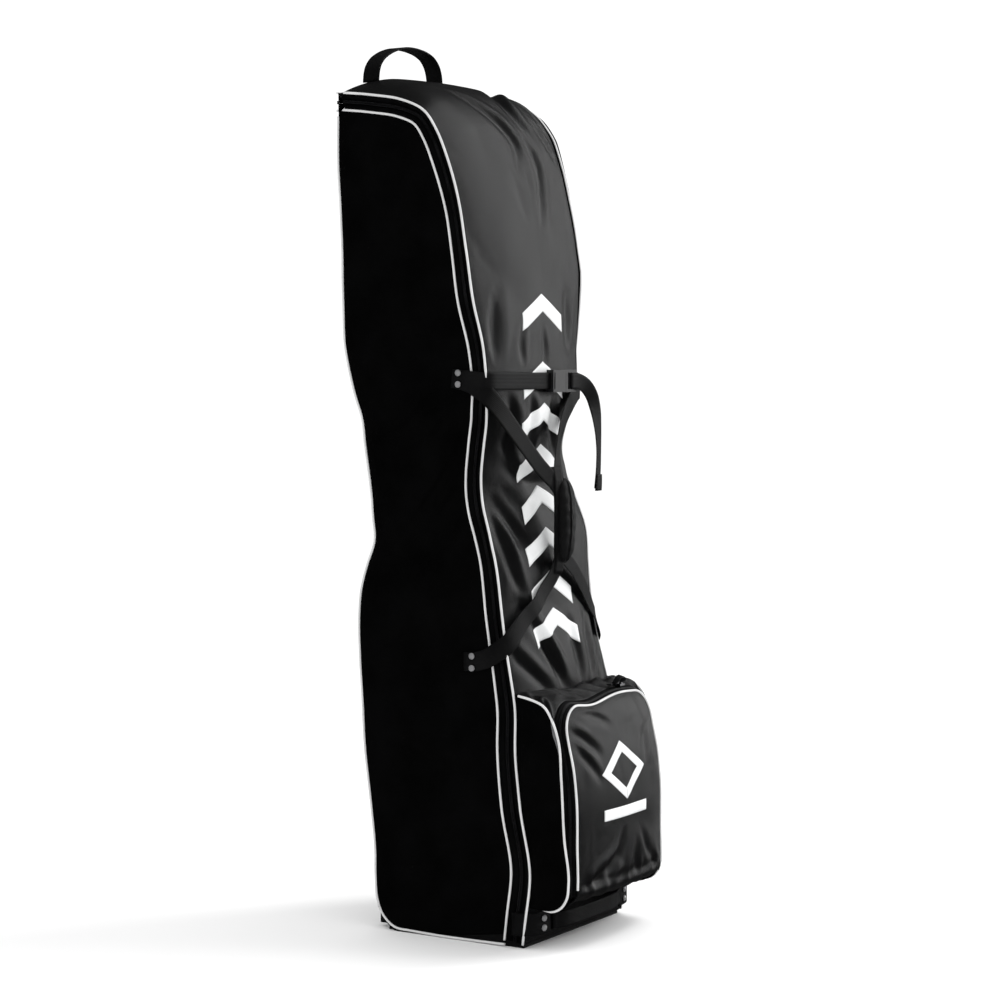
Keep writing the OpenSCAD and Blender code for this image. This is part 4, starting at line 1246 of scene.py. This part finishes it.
def build_camera():
    azimuth, pitch, distance = math.radians(-58), math.radians(2.9), 3.677
    target = Vector((.016, 0, .634))
    level = Vector((math.sin(azimuth), -math.cos(azimuth), 0)) * math.cos(pitch)
    back = level + Vector((0, 0, math.sin(pitch)))
    data = bpy.data.cameras.new("camera")
    data.lens = 88
    data.sensor_width = 36
    obj = bpy.data.objects.new("camera", data)
    obj.location = target + back * distance
    obj.rotation_euler = (-back).to_track_quat("-Z", "Y").to_euler()
    bpy.context.scene.collection.objects.link(obj)
    bpy.context.scene.camera = obj


CAD_LOOKS = {
    "base_tray": TRAY, "wheel_housing": TRAY, "skid_rails": TRAY, "tyre": RUBBER, "hub": HUB,
    "bearing": STEEL, "axle": STEEL, "screws": STEEL, "rivet": STEEL, "buckle": PLASTIC,
    "slider": GUNMETAL, "pull": GUNMETAL,
}


def dress_cad():
    """Moulded and metal parts keep their CAD shape, with softened edges and a material."""
    for name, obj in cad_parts.items():
        for word, mat in CAD_LOOKS.items():
            if word in name:
                obj.data.materials.clear()
                obj.data.materials.append(mat)
                soft = obj.modifiers.new("edge", "BEVEL")
                soft.width = .0008 if mat in (TRAY, RUBBER) else .0003
                soft.segments = 2
                soft.limit_method = "ANGLE"
                break


cover = build_cover()
sides = []
for sign, word in ((-1, "left"), (1, "right")):
    sides.append(build_side(sign, f"{word}_side_cover", f"{word}_side_panel"))
    build_side_zip(sign, word)
    build_pipings(sign, word)
build_back()
build_rear_zip()
skin = Skin(cover, *sides)
door = build_door()
build_gusset(skin)
build_pocket_trim()
build_belt(skin)
build_legs(skin)
build_grip()
build_rivets()
build_top_handle()
build_bottom_handle(skin)
build_tie_strap()
STACK = [chevron(.012 - .03 * (.93 - z) / .5, z, .056, .03, .026)
         for z in (.942, .842, .781, .72, .659, .598, .537, .48)]
printed("chevron_print_upper", STACK[:1], skin, "hood")
printed("chevron_print_lower", STACK[1:], skin, "case")
DOOR_SKIN = Skin(door)
EMBLEM = [diamond(0, .247, .062, .042), bar(0, .18, .062, .016)]
printed("pocket_emblem", EMBLEM, DOOR_SKIN, "pocket_door")
dress_cad()

build_stage()
area_light("key", (3.2, -2.3, 2.3), (0, 0, .9), (1.0, 2.2), 64)
area_light("top", (1.2, -1.3, 3.5), (0, 0, .8), (1.0, 1.0), 34)
area_light("fill", (3.6, -1.6, .5), (0, 0, .4), (1.2, 1.2), 14)
build_camera()
bpy.context.scene.view_settings.view_transform = "Standard"
